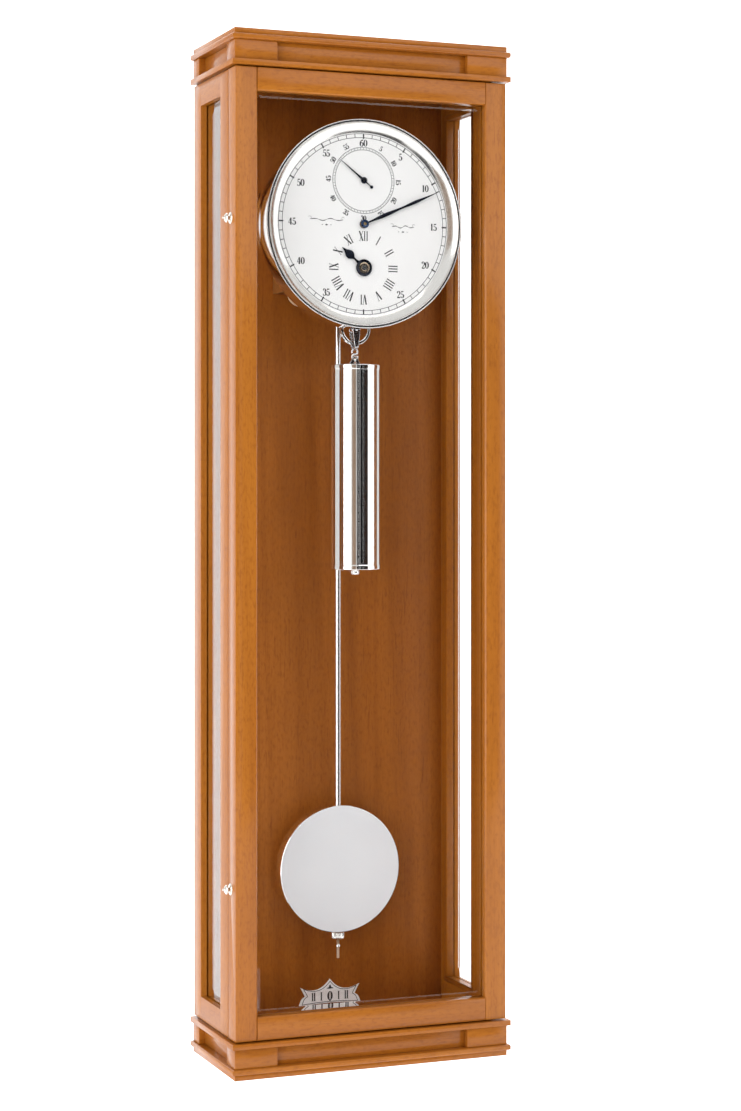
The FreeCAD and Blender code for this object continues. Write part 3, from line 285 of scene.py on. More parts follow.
NICKEL = plated("polished_nickel", (0.93, 0.92, 0.905), 0.02, 0.04)
STEEL = plated("drawn_steel", (0.84, 0.84, 0.85), 0.07, 0.07, "z")
SATIN = turned_silver()
BRASS = brass()
BROWN_STEEL = brass("brown_lacquered_steel", (0.30, 0.105, 0.016), (0.26, 0.088, 0.012), 0.1, 0.5)
PLATE_BRASS = brass("brushed_brass", (0.95, 0.72, 0.48), (0.88, 0.64, 0.40), 0.1, 0.42)
BEZEL = plated("soft_nickel", (0.86, 0.845, 0.815), 0.12, 0.06)
THREAD = brass("threaded_steel", (0.78, 0.66, 0.52), (0.55, 0.43, 0.32), 0.7, 0.35)
BRONZE = plated("dark_bronze", (0.34, 0.27, 0.20), 0.16, 0.1)
KNOB = plated("worn_nickel", (0.74, 0.70, 0.63), 0.08, 0.08)
ENAMEL = enamel()
INK_AND_PAINTED_SHADE = ink()
BLUED = blued()
BLUE_HUB = blued("blued_hub", (0.008, 0.022, 0.06), (0.03, 0.06, 0.13))
GLASS = clear_glass()


# ---------------------------------------------------------------- mesh helpers

def put(name, mesh, materials, body, replaces=(), sharp=35):
    """Makes a piece of a mesh, smooth apart from its sharp edges, and hangs it on its body."""
    piece = bpy.data.objects.new(name, mesh)
    bpy.context.scene.collection.objects.link(piece)
    mesh.materials.clear()
    for material in materials if isinstance(materials, list) else [materials]:
        mesh.materials.append(material)
    mesh.polygons.foreach_set("use_smooth", [True] * len(mesh.polygons))
    mesh.set_sharp_from_angle(angle=math.radians(sharp))
    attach(piece, body)
    if replaces:
        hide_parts(*replaces)
    return piece


def edited(mesh, *steps):
    """Runs bmesh steps on a mesh, each a function of the working mesh."""
    work = bmesh.new()
    work.from_mesh(mesh)
    for step in steps:
        step(work)
    work.to_mesh(mesh)
    work.free()
    return mesh


def weld(work):
    bmesh.ops.remove_doubles(work, verts=work.verts, dist=1e-6)
    bmesh.ops.dissolve_degenerate(work, edges=work.edges, dist=1e-7)
    bmesh.ops.recalc_face_normals(work, faces=work.faces)


def flatten(work):
    bmesh.ops.dissolve_limit(work, angle_limit=math.radians(0.5), verts=work.verts, edges=work.edges)


def meshed(name, points, faces):
    mesh = bpy.data.meshes.new(name)
    mesh.from_pydata([tuple(point) for point in points], [], faces)
    return edited(mesh, weld)


def evaluated(data, width=0.0, segments=2):
    """The mesh of a mesh or curve, with its sharp edges bevelled where a width is given."""
    holder = bpy.data.objects.new("holder", data)
    bpy.context.scene.collection.objects.link(holder)
    if width:
        bevel = holder.modifiers.new("bevel", "BEVEL")
        bevel.width = width
        bevel.segments = segments
        bevel.limit_method = "ANGLE"
        bevel.angle_limit = math.radians(40)
    bpy.context.view_layer.update()
    mesh = bpy.data.meshes.new_from_object(holder.evaluated_get(bpy.context.evaluated_depsgraph_get()))
    bpy.data.objects.remove(holder)
    return mesh


def softened(node, width, materials, body, cuts=(), pick=None):
    """A CAD node again with its sharp edges eased. Cuts are (axis, value) planes that part faces
    of different grain, and pick gives each face its material's number."""
    def part(work):
        for axis, value in cuts:
            geometry = work.verts[:] + work.edges[:] + work.faces[:]
            normal = Vector([1.0 if letter == axis else 0.0 for letter in "xyz"])
            bmesh.ops.bisect_plane(work, geom=geometry, dist=1e-7, plane_co=normal * value, plane_no=normal)

    mesh = edited(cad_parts[node].data.copy(), weld, flatten)
    mesh = edited(evaluated(mesh, width), part)
    piece = put(f"{node}_piece", mesh, materials, body, (node,), 28)
    if pick:
        for face in piece.data.polygons:
            face.material_index = pick(face)
    return piece


def dress(material, *nodes):
    """Gives CAD nodes whose shape is right a better material."""
    for node in nodes:
        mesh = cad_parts[node].data
        mesh.materials.clear()
        mesh.materials.append(material)


def lathe(
    name, profile, centre, axis, material, body, replaces=(), steps=96,
    lobes=0, lobe_share=0.0, sharp=35,
):
    """Turns a closed (radius, along) profile about an axis. Lobes flute the outermost radius."""
    rim = max(radius for radius, _ in profile)
    points, faces = [], []
    count = len(profile)
    for step in range(steps):
        angle = 2 * math.pi * step / steps
        dip = lobe_share * (0.5 - 0.5 * math.cos(lobes * angle))
        for radius, along in profile:
            reach = radius * (1 - dip) if radius > 0.8 * rim else radius
            a, b = reach * math.cos(angle), reach * math.sin(angle)
            points.append(centre + Vector({"x": (along, a, b), "y": (a, along, b), "z": (a, b, along)}[axis]))
    for step in range(steps):
        here, there = step * count, (step + 1) % steps * count
        for i in range(count):
            j = (i + 1) % count
            faces.append((here + i, here + j, there + j, there + i))
    return put(name, meshed(name, points, faces), material, body, replaces, sharp)


def arc(centre, radius, start, end, steps=8):
    """Points along an arc, its angles in degrees from the first coordinate's axis."""
    angles = [math.radians(start + (end - start) * i / steps) for i in range(steps + 1)]
    return [(centre[0] + radius * math.cos(a), centre[1] + radius * math.sin(a)) for a in angles]


def circle(centre, radius, steps=48):
    return arc(centre, radius, 0, 360 - 360 / steps, steps - 1)


def smooth(stations, steps=8):
    """A curve through stations, each a tuple, by Catmull-Rom between neighbours."""
    path = []
    for i in range(len(stations) - 1):
        before, a, b, after = (stations[max(0, min(len(stations) - 1, i + k))] for k in (-1, 0, 1, 2))
        for step in range(steps):
            t = step / steps
            path.append(tuple(
                0.5 * (
                    2 * q + (r - p) * t + (2 * p - 5 * q + 4 * r - s) * t**2 + (3 * q - p - 3 * r + s) * t**3
                )
                for p, q, r, s in zip(before, a, b, after)
            ))
    return path + [tuple(stations[-1])]


def plate(name, loops, centre, front, thick, material, body, replaces=(), bevel=0.0, turn=0.0):
    """Closed (x, z) loops about a centre made into a plate, its holes left open, turned clockwise."""
    curve = bpy.data.curves.new(name, "CURVE")
    curve.dimensions = "2D"
    curve.fill_mode = "BOTH"
    curve.extrude = thick / 2 - bevel
    curve.bevel_depth = bevel
    curve.bevel_resolution = 2
    curve.offset = -bevel
    for loop in loops:
        spline = curve.splines.new("POLY")
        spline.points.add(len(loop) - 1)
        spline.use_cyclic_u = True
        for point, (x, z) in zip(spline.points, loop):
            point.co = (x, z, 0, 1)
    mesh = evaluated(curve)
    swing = math.radians(turn)
    for vertex in mesh.vertices:
        x, z, out = vertex.co
        across = x * math.cos(swing) + z * math.sin(swing)
        up = z * math.cos(swing) - x * math.sin(swing)
        vertex.co = (centre.x + across, front + thick / 2 - out, centre.z + up)
    return put(name, edited(mesh, weld), material, body, replaces, 30)


def wire(name, path, radius, material, body, replaces=()):
    """A round wire along points, with closed ends."""
    curve = bpy.data.curves.new(name, "CURVE")
    curve.dimensions = "3D"
    curve.bevel_depth = radius
    curve.bevel_resolution = 4
    curve.use_fill_caps = True
    spline = curve.splines.new("POLY")
    spline.points.add(len(path) - 1)
    for point, spot in zip(spline.points, path):
        point.co = (*spot, 1)
    return put(name, edited(evaluated(curve), weld), material, body, replaces, 50)


# ---------------------------------------------------------------- print: numbers and plain ornament

class Print:
    """Flat ink on a face towards -Y, gathered into one mesh."""

    def __init__(self, front):
        self.front = front
        self.points = []
        self.faces = []

    def ribbon(self, path, place):
        """Inks a pen stroke. A path is (x, z, half width) points and place maps them to the face."""
        start = len(self.points)
        for i, (x, z, half) in enumerate(path):
            before, after = path[max(0, i - 1)], path[min(len(path) - 1, i + 1)]
            along = Vector((after[0] - before[0], after[1] - before[1])).normalized()
            for side in (-half, half):
                across, up = place(x - along.y * side, z + along.x * side)
                self.points.append((across, self.front, up))
        for i in range(start, len(self.points) - 2, 2):
            self.faces.append((i, i + 1, i + 3, i + 2))

    def ring(self, centre, radius, width, steps=160):
        self.ribbon([(x, z, width / 2) for x, z in arc((0, 0), radius, 0, 360, steps)], placer(centre))

    def spoke(self, centre, inner, outer, angle, width):
        """A line outwards from a centre, its angle clockwise from the top in degrees."""
        self.ribbon([(0, inner, width / 2), (0, outer, width / 2)], placer(centre, angle))

    def finish(self, name, body):
        mesh = bpy.data.meshes.new(name)
        mesh.from_pydata(self.points, [], self.faces)
        return put(name, mesh, INK_AND_PAINTED_SHADE, body)


def placer(centre, turn=0.0, shift=(0, 0), size=1.0, flip=False):
    """Maps flat coordinates to a face: sized, shifted outwards, turned clockwise, then centred."""
    swing = math.radians(turn)

    def place(x, z):
        x, z = (-x, -z) if flip else (x, z)
        x, z = x * size + shift[0], z * size + shift[1]
        across = x * math.cos(swing) + z * math.sin(swing)
        up = z * math.cos(swing) - x * math.sin(swing)
        return centre.x + across, centre.z + up

    return place


THICK, THIN = 0.068, 0.020
STEM, SERIF = 0.062, 0.014


def bow(x, z, rx, rz, start, end, thick=THICK):
    """A stroke round an ellipse, as a pen draws it: broad where it runs upright."""
    path = []
    for step in range(25):
        angle = math.radians(start + (end - start) * step / 24)
        half = THIN + (thick - THIN) * abs(math.cos(angle)) ** 1.4
        path.append((x + rx * math.cos(angle), z + rz * math.sin(angle), half))
    return path


def line(x1, z1, x2, z2, half):
    return [(x1, z1, half), (x2, z2, half)]


def dot(x, z, radius=0.07):
    return [(x - radius, z, 0.01), (x - radius * 0.6, z, radius * 0.8), (x, z, radius),
            (x + radius * 0.6, z, radius * 0.8), (x + radius, z, 0.01)]


# strokes of each character on a body one unit tall, with its width last
GLYPHS = {
    "0": ([bow(0.29, 0.5, 0.21, 0.47, 0, 360)], 0.58),
    "1": ([
        line(0.27, 0.02, 0.27, 0.97, THICK), line(0.12, 0.02, 0.42, 0.02, THIN),
        line(0.27, 0.96, 0.13, 0.87, THIN),
    ], 0.5),
    "2": ([
        bow(0.27, 0.70, 0.19, 0.27, 165, -30), line(0.435, 0.57, 0.07, 0.05, THIN * 1.6),
        line(0.06, 0.05, 0.48, 0.05, THICK * 0.8), line(0.48, 0.03, 0.51, 0.2, THIN), dot(0.12, 0.75),
    ], 0.56),
    "3": ([
        bow(0.25, 0.74, 0.18, 0.23, 150, -90), bow(0.25, 0.27, 0.22, 0.25, 90, -150),
        dot(0.12, 0.82), dot(0.1, 0.16),
    ], 0.54),
    "4": ([
        line(0.36, 0.97, 0.03, 0.3, THIN), line(0.03, 0.29, 0.55, 0.29, THIN * 1.4),
        line(0.38, 0.02, 0.38, 0.97, THICK), line(0.25, 0.02, 0.51, 0.02, THIN),
    ], 0.6),
    "5": ([
        line(0.13, 0.92, 0.46, 0.92, THICK * 0.75), line(0.13, 0.95, 0.11, 0.52, THIN),
        bow(0.25, 0.3, 0.22, 0.28, 130, -150), dot(0.1, 0.15),
    ], 0.54),
    "6": ([
        bow(0.29, 0.3, 0.21, 0.28, 0, 360), bow(0.52, 0.38, 0.44, 0.58, 100, 185), dot(0.44, 0.88),
    ], 0.58),
    "I": ([
        line(0.135, 0.0, 0.135, 1.0, 0.047), line(0.03, 0.008, 0.24, 0.008, SERIF / 2),
        line(0.03, 0.992, 0.24, 0.992, SERIF / 2),
    ], 0.27),
    "V": ([
        line(0.09, 1.0, 0.27, 0.0, STEM), line(0.44, 1.0, 0.28, 0.0, 0.020),
        line(0.34, 0.985, 0.52, 0.985, SERIF),
    ], 0.50),
    "X": ([
        line(0.07, 1.0, 0.44, 0.0, STEM), line(0.43, 1.0, 0.10, 0.0, 0.020),
        line(0.34, 0.985, 0.50, 0.985, SERIF), line(0.02, 0.015, 0.20, 0.015, SERIF),
    ], 0.51),
}


def number(sheet, text, centre, reach, angle, height, upright=True, flip=False, weight=1.0):
    """Prints a number at a reach from a centre: upright, or turned with its foot to the centre."""
    width = sum(GLYPHS[letter][1] for letter in text)
    swing = math.radians(angle)
    if upright:
        spot = centre + Vector((reach * math.sin(swing), 0, reach * math.cos(swing)))
        place = placer(spot, size=height)
    else:
        place = placer(centre, angle, (0, reach), height, flip)
    pen = -width / 2
    for letter in text:
        strokes, advance = GLYPHS[letter]
        for stroke in strokes:
            sheet.ribbon([(x + pen, z - 0.5, half * weight) for x, z, half in stroke], place)
        pen += advance


# ---------------------------------------------------------------- stage, camera and light

def sweep():
    """A pale floor that curves up into a backdrop, well clear of the hanging clock."""
    floor = CAD_BOX[0][2] - 0.35
    bend = 1.2
    profile = [(-7.0, floor), (2.0, floor)]
    profile += [(2.0 + y, floor + bend + z) for y, z in arc((0, 0), bend, -90, 0, 16)]
    profile += [(2.0 + bend, floor + 7.0)]
    points, faces = [], []
    for y, z in profile:
        points += [(-8.0, y, z), (9.0, y, z)]
    for i in range(len(profile) - 1):
        faces.append((2 * i, 2 * i + 1, 2 * i + 3, 2 * i + 2))
    mesh = bpy.data.meshes.new("studio_sweep")
    mesh.from_pydata(points, [], faces)
    mesh.polygons.foreach_set("use_smooth", [True] * len(faces))
    s = Shader("studio_white")
    cloud = s.noise(s.place, 2, 2)
    tint = s.blend(s.ramp(cloud, 0.3, 0.7), (0.93, 0.93, 0.93), (0.92, 0.92, 0.92))
    mesh.materials.append(s.done(Base_Color=tint, Roughness=0.9, Specular_IOR_Level=0.1))
    backdrop = bpy.data.objects.new("studio_sweep", mesh)
    bpy.context.scene.collection.objects.link(backdrop)


def card(name, left, right, tint, near=(-2.3, -1.26), far=(-2.3, 0.6)):
    """A dark card in front, as in a studio, between two (y, z) edges.

    Reflections and rays through glass see it, and the camera does not.
    """
    corners = [(left, *near), (right, *near), (right, *far), (left, *far)]
    mesh = bpy.data.meshes.new(name)
    mesh.from_pydata(corners, [], [(0, 1, 2, 3)])
    s = Shader(name)
    cloud = s.noise(s.place, 3, 2)
    shade = s.blend(s.ramp(cloud, 0.3, 0.7), tint, tuple(value * 0.8 for value in tint))
    mesh.materials.append(s.done(Base_Color=shade, Roughness=0.9, Specular_IOR_Level=0.0))
    item = bpy.data.objects.new(name, mesh)
    bpy.context.scene.collection.objects.link(item)
    for ray in ("camera", "diffuse", "shadow", "volume_scatter"):
        setattr(item, f"visible_{ray}", False)


def camera():
    """A level long lens at the clock's left, a little above half its height."""
    lens = bpy.data.cameras.new("camera")
    lens.sensor_width = 36
    lens.lens = 76.16
    lens.shift_x = 0.0175
    lens.shift_y = -0.0618
    view = bpy.data.objects.new("camera", lens)
    view.location = (-0.8382, -2.1980, -0.3625)
    view.rotation_euler = (math.radians(90), 0, math.radians(-21.48))
    bpy.context.scene.collection.objects.link(view)
    bpy.context.scene.camera = view


def softbox(name, bearing, distance, height, wide, tall, power, aim=None):
    """An area lamp round the clock, aimed at it unless told otherwise.

    Its bearing is from straight ahead, to the right, in degrees.
    """
    heart = Vector((0, -0.07, -0.42))
    lamp = bpy.data.lights.new(name, "AREA")
    lamp.shape = "RECTANGLE"
    lamp.size = wide
    lamp.size_y = tall
    lamp.energy = power
    swing = math.radians(bearing)
    item = bpy.data.objects.new(name, lamp)
    item.location = heart + Vector((distance * math.sin(swing), -distance * math.cos(swing), height))
    item.rotation_euler = ((aim or heart) - item.location).to_track_quat("-Z", "Y").to_euler()
    bpy.context.scene.collection.objects.link(item)


def lights():
    world = bpy.data.worlds.new("studio_air")
    bpy.context.scene.world = world
    world.use_nodes = True
    air = world.node_tree.nodes["Background"]
    air.inputs["Color"].default_value = (1.0, 1.0, 1.0, 1)
    air.inputs["Strength"].default_value = 0.86
    softbox("key_left", -66, 2.3, 0.0, 2.4, 2.6, 48)
    softbox("fill_right", 60, 2.4, 0.0, 1.5, 2.4, 13)
    softbox("top_front", 21, 2.3, 1.5, 2.0, 1.4, 10)
    softbox("backdrop_wash", 176, 1.3, 3.0, 3.0, 1.2, 60)
    softbox("ground_wash", 150, 2.0, 3.2, 3.0, 1.5, 120, Vector((1.2, 2.6, -0.8)))


# ---------------------------------------------------------------- case and door

def case():
    ease = 0.45 * MM
    window = low("left_side_glass").y + 4.5 * MM, high("left_side_glass").y - 4.5 * MM
    opening = high("bottom_door_rail").z, low("top_door_rail").z
    for seed, node in enumerate(("left_side_frame", "right_side_frame"), start=1):
        def rail(face):
            return int(window[0] < face.center.y < window[1] and not opening[0] < face.center.z < opening[1])

        softened(
            node, 0.2 * MM, [wood("z", seed), wood("y", 30 + seed)], "case",
            [("y", value) for value in window], rail,
        )
    for seed, node in enumerate(
        ("crown_bead", "top_board", "crown_blocks", "crown_frieze", "crown_moulding", "crown_cap",
         "base_bead", "bottom_board", "base_blocks", "base_frieze", "base_moulding", "base_foot"), start=3,
    ):
        # a level board's front runs along X, and its returns along the sides run along Y
        softened(
            node, ease, [wood("x", seed), wood("y", seed)], "case",
            pick=lambda face: int(abs(face.normal.x) > 0.7),
        )
    softened("back_panel", 0.3 * MM, wood("z", 20, "back"), "case")
    members = [("left_door_stile", "z"), ("right_door_stile", "z")]
    members += [("bottom_door_rail", "x"), ("top_door_rail", "x")]
    for seed, (node, along) in enumerate(members, start=21):
        softened(node, 0.06 * MM, wood(along, seed), "door")
    softened("side_glass_beads", 0.4 * MM, wood("z", 27), "case")
    softened("door_glass_beads", 0.4 * MM, wood("z", 28), "door")
    dress(GLASS, "left_side_glass", "right_side_glass", "door_glass")
    softened("hanger_plate", 0.3 * MM, STEEL, "case")
    for node, body in (("case_hinge_leaves", "case"), ("door_hinge_leaves", "door")):
        softened(node, 0.15 * MM, BRASS, body)
    dress(BRASS, "hinge_pins")


def latches():
    """Turned mushroom knobs on rosettes, each with its cam inside the stile."""
    face = low("left_door_stile").x
    for node in ("upper_latch", "lower_latch"):
        box_low, box_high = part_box(node)
        spot = Vector((face, (box_low.y + box_high.y) / 2, box_low.z + (box_high.y - box_low.y) / 2))
        knob = [(0, 8.4), (2.0, 8.4), (2.0, -1.2), (2.4, -1.5), (1.7, -2.3), (1.9, -3.0)]
        knob += [(3.4, -3.2), (4.3, -3.5), (4.5, -4.0), (4.2, -4.6), (3.2, -5.3), (2.1, -5.9)]
        knob += [(1.1, -6.4), (0.8, -6.8), (1.1, -7.1), (1.2, -7.45), (0.8, -7.8), (0, -7.9)]
        profile = [(radius * MM, along * MM) for radius, along in knob]
        lathe(f"{node}_knob", profile, spot, "x", KNOB, node, (node,), 64)
        half, wide, long = 1.25 * MM, 2.5 * MM, box_high.z - spot.z
        points = [
            (face + 6.25 * MM + x * half, spot.y + y * wide, spot.z + z)
            for x in (-1, 1) for y in (-1, 1) for z in (-wide, long)
        ]
        faces = [(0, 1, 3, 2), (4, 6, 7, 5), (0, 4, 5, 1), (2, 3, 7, 6), (0, 2, 6, 4), (1, 5, 7, 3)]
        mesh = evaluated(meshed(f"{node}_cam", points, faces), 0.4 * MM)
        put(f"{node}_cam", mesh, STEEL, node)
        rosette = [(2.1 * MM, 0), (2.1 * MM, -1.05 * MM), (3.2 * MM, -1.3 * MM), (3.6 * MM, -0.9 * MM)]
        rosette += [(4.2 * MM, -1.0 * MM), (4.8 * MM, -0.8 * MM), (5.5 * MM, -0.15 * MM), (5.5 * MM, 0)]
        lathe(f"{node}_rosette", rosette, spot, "x", KNOB, "door", ("latch_rosettes",), 64)


# ---------------------------------------------------------------- dial

def dial_case():
    """The drum with its rolled lip, the polished dished ring round the dial, and a black ring of painted
    shade filling the groove between them.
    """
    outer = high("dial_drum").x
    front, back = low("dial_drum").y, high("dial_drum").y
    centre = Vector((0, 0, DIAL.z))
    lip = 0.55 * MM
    drum = [(outer - 1.2 * MM, back), (outer - 0.15 * MM, back)]
    drum += [(outer, back - 0.15 * MM), (outer, front + lip)]
    drum += [(outer - lip + r, front + lip + y) for r, y in arc((0, 0), lip, 0, -180, 10)]
    drum += [(outer - 1.2 * MM, front + lip)]
    lathe("dial_drum_piece", drum, centre, "y", NICKEL, "case", ("dial_drum",), 192)
    ring_front = front + 0.35 * MM
    start, end = outer - 3.4 * MM, DIAL_RADIUS + 0.1 * MM
    dish = []
    for step in range(13):
        share = step / 12
        sag = math.sin(math.pi * share) * 0.5 * MM
        dish.append((start + (end - start) * share, ring_front + (DIAL.y - ring_front) * share + sag))
    bead = 0.42 * MM
    ring = [(outer - 1.25 * MM, DIAL.y + 1.4 * MM), (outer - 1.25 * MM, ring_front + 1.3 * MM)]
    ring += [(outer - 1.9 * MM, ring_front + 1.3 * MM)]
    ring += [(start + bead + r, ring_front + y) for r, y in arc((0, 0), bead, 60, -180, 8)]
    ring += dish[1:] + [(end, DIAL.y + 1.4 * MM)]
    lathe(
        "bezel_ring_piece", ring, centre, "y", BEZEL, "case", ("bezel_ring",), 192, sharp=50,
    )
    # painted shade: a black ring fills the recess between the ring's bead and the drum's lip
    groove = [(start + 0.5 * MM, ring_front + 0.5 * MM), (outer - 1.15 * MM, ring_front + 0.5 * MM)]
    groove += [(outer - 1.15 * MM, ring_front + 1.3 * MM), (start + 0.5 * MM, ring_front + 1.3 * MM)]
    lathe("bezel_groove_painted_shade", groove, centre, "y", INK_AND_PAINTED_SHADE, "case", (), 160)


def dial_print():
    sheet = Print(PRINT_FRONT)
    inner, outer = 83.0 * MM, 86.8 * MM
    hair = 0.52 * MM
    for radius in (inner, outer):
        sheet.ring(DIAL, radius, hair, 240)
    for minute in range(60):
        bold = minute % 5 == 0
        start, thick = (inner - 1.1 * MM, 1.35 * MM) if bold else (inner, 0.66 * MM)
        sheet.spoke(DIAL, start, outer, minute * 6, thick)
    for minute in range(5, 65, 5):
        if minute != 30:
            reach = 75.5 + 2.4 * math.cos(math.radians(minute * 12))
            number(sheet, str(minute), DIAL, reach * MM, minute * 6, 6.7 * MM, weight=1.55)
    inner, outer = 29.3 * MM, 31.8 * MM
    for radius in (inner, outer):
        sheet.ring(SECONDS, radius, 0.42 * MM)
    for half_second in range(120):
        whole = half_second % 2 == 0
        sheet.spoke(SECONDS, inner, outer, half_second * 3, 0.4 * MM if whole else 0.16 * MM)
    for second in range(5, 65, 5):
        if second != 60:
            lower = 90 < second * 6 < 270
            number(
                sheet, str(second), SECONDS, 36.2 * MM, second * 6, 5.0 * MM,
                upright=False, flip=lower, weight=1.8,
            )
    hours = ("I", "II", "III", "IIII", "V", "VI", "VII", "VIII", "IX", "X", "XI", "XII")
    for hour, text in enumerate(hours, start=1):
        number(sheet, text, HOURS, 30.6 * MM, hour * 30, 9.4 * MM, upright=False, weight=1.2)
    sheet.finish("dial_print", "case")
    flourish("left_flourish", DIAL + Vector((-38 * MM, 0, 3 * MM)), 17 * MM)
    flourish("right_flourish", DIAL + Vector((41 * MM, 0, -1 * MM)), 11.5 * MM)


def flourish(name, centre, half):
    """A plain pen scroll: a swelling wave with curled ends and a lozenge under it."""
    sheet = Print(PRINT_FRONT)
    waves = 4 * math.pi
    path = []
    for step in range(97):
        share = step / 96
        z = 1.2 * MM * math.sin(waves * share) * math.sin(math.pi * share)
        path.append(((2 * share - 1) * half, z, (0.12 + 0.28 * abs(math.sin(waves * share))) * MM))
    sheet.ribbon(path, placer(centre))
    for side in (-1, 1):
        curl = []
        for step in range(18):
            angle = 0.25 * step
            across = side * (half - 1.4 * MM * math.sin(angle))
            curl.append((across, 1.4 * MM * (1 - math.cos(angle)), 0.14 * MM))
        sheet.ribbon(curl, placer(centre))
    for x, wide in ((-4.5 * MM, 0.4 * MM), (0, 0.8 * MM), (4.5 * MM, 0.4 * MM)):
        lozenge = [(x - 2 * wide, 0, 0.01 * MM), (x, 0, wide), (x + 2 * wide, 0, 0.01 * MM)]
        sheet.ribbon(lozenge, placer(centre, shift=(0, -5 * MM)))
    sheet.finish(name, "case")


def hands():
    """Flat pointed hands with eased edges, each with its hub."""
    def blade(stations, steps=8):
        side = smooth(stations, steps)
        other = [(-half, up) for up, half in reversed(side) if half > 0.01 * MM]
        return [[(half, up) for up, half in side] + other]

    reach = 86.1 * MM
    minute = [
        (0.02, 1.2), (0.07, 0.8), (0.14, 1.15), (0.22, 1.7), (0.29, 1.8), (0.38, 1.4), (0.46, 1.05),
        (0.54, 1.1), (0.62, 1.5), (0.68, 1.55), (0.76, 1.15), (0.85, 0.65), (0.93, 0.35), (1.0, 0.0),
    ]
    front = low("minute_hand").y + 0.5 * MM
    outline = blade([(share * reach, half * MM) for share, half in minute])
    plate(
        "minute_blade", outline, DIAL, front, 0.8 * MM, BLUED,
        "minute_arbor", ("minute_hand",), 0.15 * MM, 66.3,
    )
    hub = [(1.5, 4.0), (2.6, 4.0), (2.6, 1.4), (3.9, 1.3), (4.1, 1.0), (4.1, 0.45), (3.7, 0.1), (2.9, 0.0)]
    hub += [(2.2, 0.35), (1.9, 0.35), (1.6, 0.1), (0.9, 0.01), (0, 0.0), (0, 1.4), (1.5, 1.4)]
    spot = Vector((0, low("minute_hand").y, DIAL.z))
    hub = [(r * MM, y * MM) for r, y in hub]
    lathe("minute_hub", hub, spot, "y", BLUE_HUB, "minute_arbor", (), 64)

    reach = 29.8 * MM
    hour = [
        (0.2, 1.9), (0.32, 1.2), (0.44, 1.0), (0.49, 1.7), (0.54, 3.1), (0.6, 4.05), (0.66, 4.25),
        (0.72, 3.7), (0.78, 2.6), (0.84, 1.5), (0.91, 0.9), (1.0, 0.0),
    ]
    front = low("hour_hand").y
    outline = blade([(share * reach, half * MM) for share, half in hour])
    plate(
        "hour_blade", outline, HOURS, front + 0.1 * MM, 0.6 * MM, BLUED,
        "hour_pipe", ("hour_hand",), 0.12 * MM, -50,
    )
    collar = [(5.4, 0.9), (7.9, 0.9), (8.2, 0.6), (8.1, 0.15), (7.5, -0.15), (6.6, 0.0)]
    collar += [(5.9, 0.35), (5.4, 0.35)]
    spot = Vector((0, front, HOURS.z))
    collar = [(r * MM, y * MM) for r, y in collar]
    lathe("hour_collar", collar, spot, "y", BLUED, "hour_pipe", (), 72)

    reach = 32.1 * MM
    second = [(-0.3, 0.45), (-0.1, 0.65), (0.0, 0.8), (0.16, 1.05), (0.3, 0.75), (0.7, 0.42), (1.0, 0.12)]
    front = low("seconds_hand").y
    outline = blade([(share * reach, half * MM) for share, half in second])
    plate(
        "seconds_blade", outline, SECONDS, front + 0.4 * MM, 0.4 * MM, BLUED,
        "seconds_arbor", ("seconds_hand",), 0.06 * MM, -52.1,
    )
    swing = math.radians(-52.1)
    tail = SECONDS - Vector((math.sin(swing), 0, math.cos(swing))) * 10 * MM
    plate(
        "seconds_tail", [circle((0, 0), 1.6 * MM)], tail, front + 0.4 * MM, 0.5 * MM, BLUED, "seconds_arbor",
        (), 0.1 * MM,
    )
    hub = [(0, 0.9), (2.9, 0.9), (3.2, 0.7), (3.1, 0.2), (2.2, 0.0), (0, 0.0)]
    spot = Vector((0, front, SECONDS.z))
    hub = [(r * MM, y * MM) for r, y in hub]
    lathe("seconds_hub", hub, spot, "y", BLUED, "seconds_arbor", (), 64)


# ---------------------------------------------------------------- weight

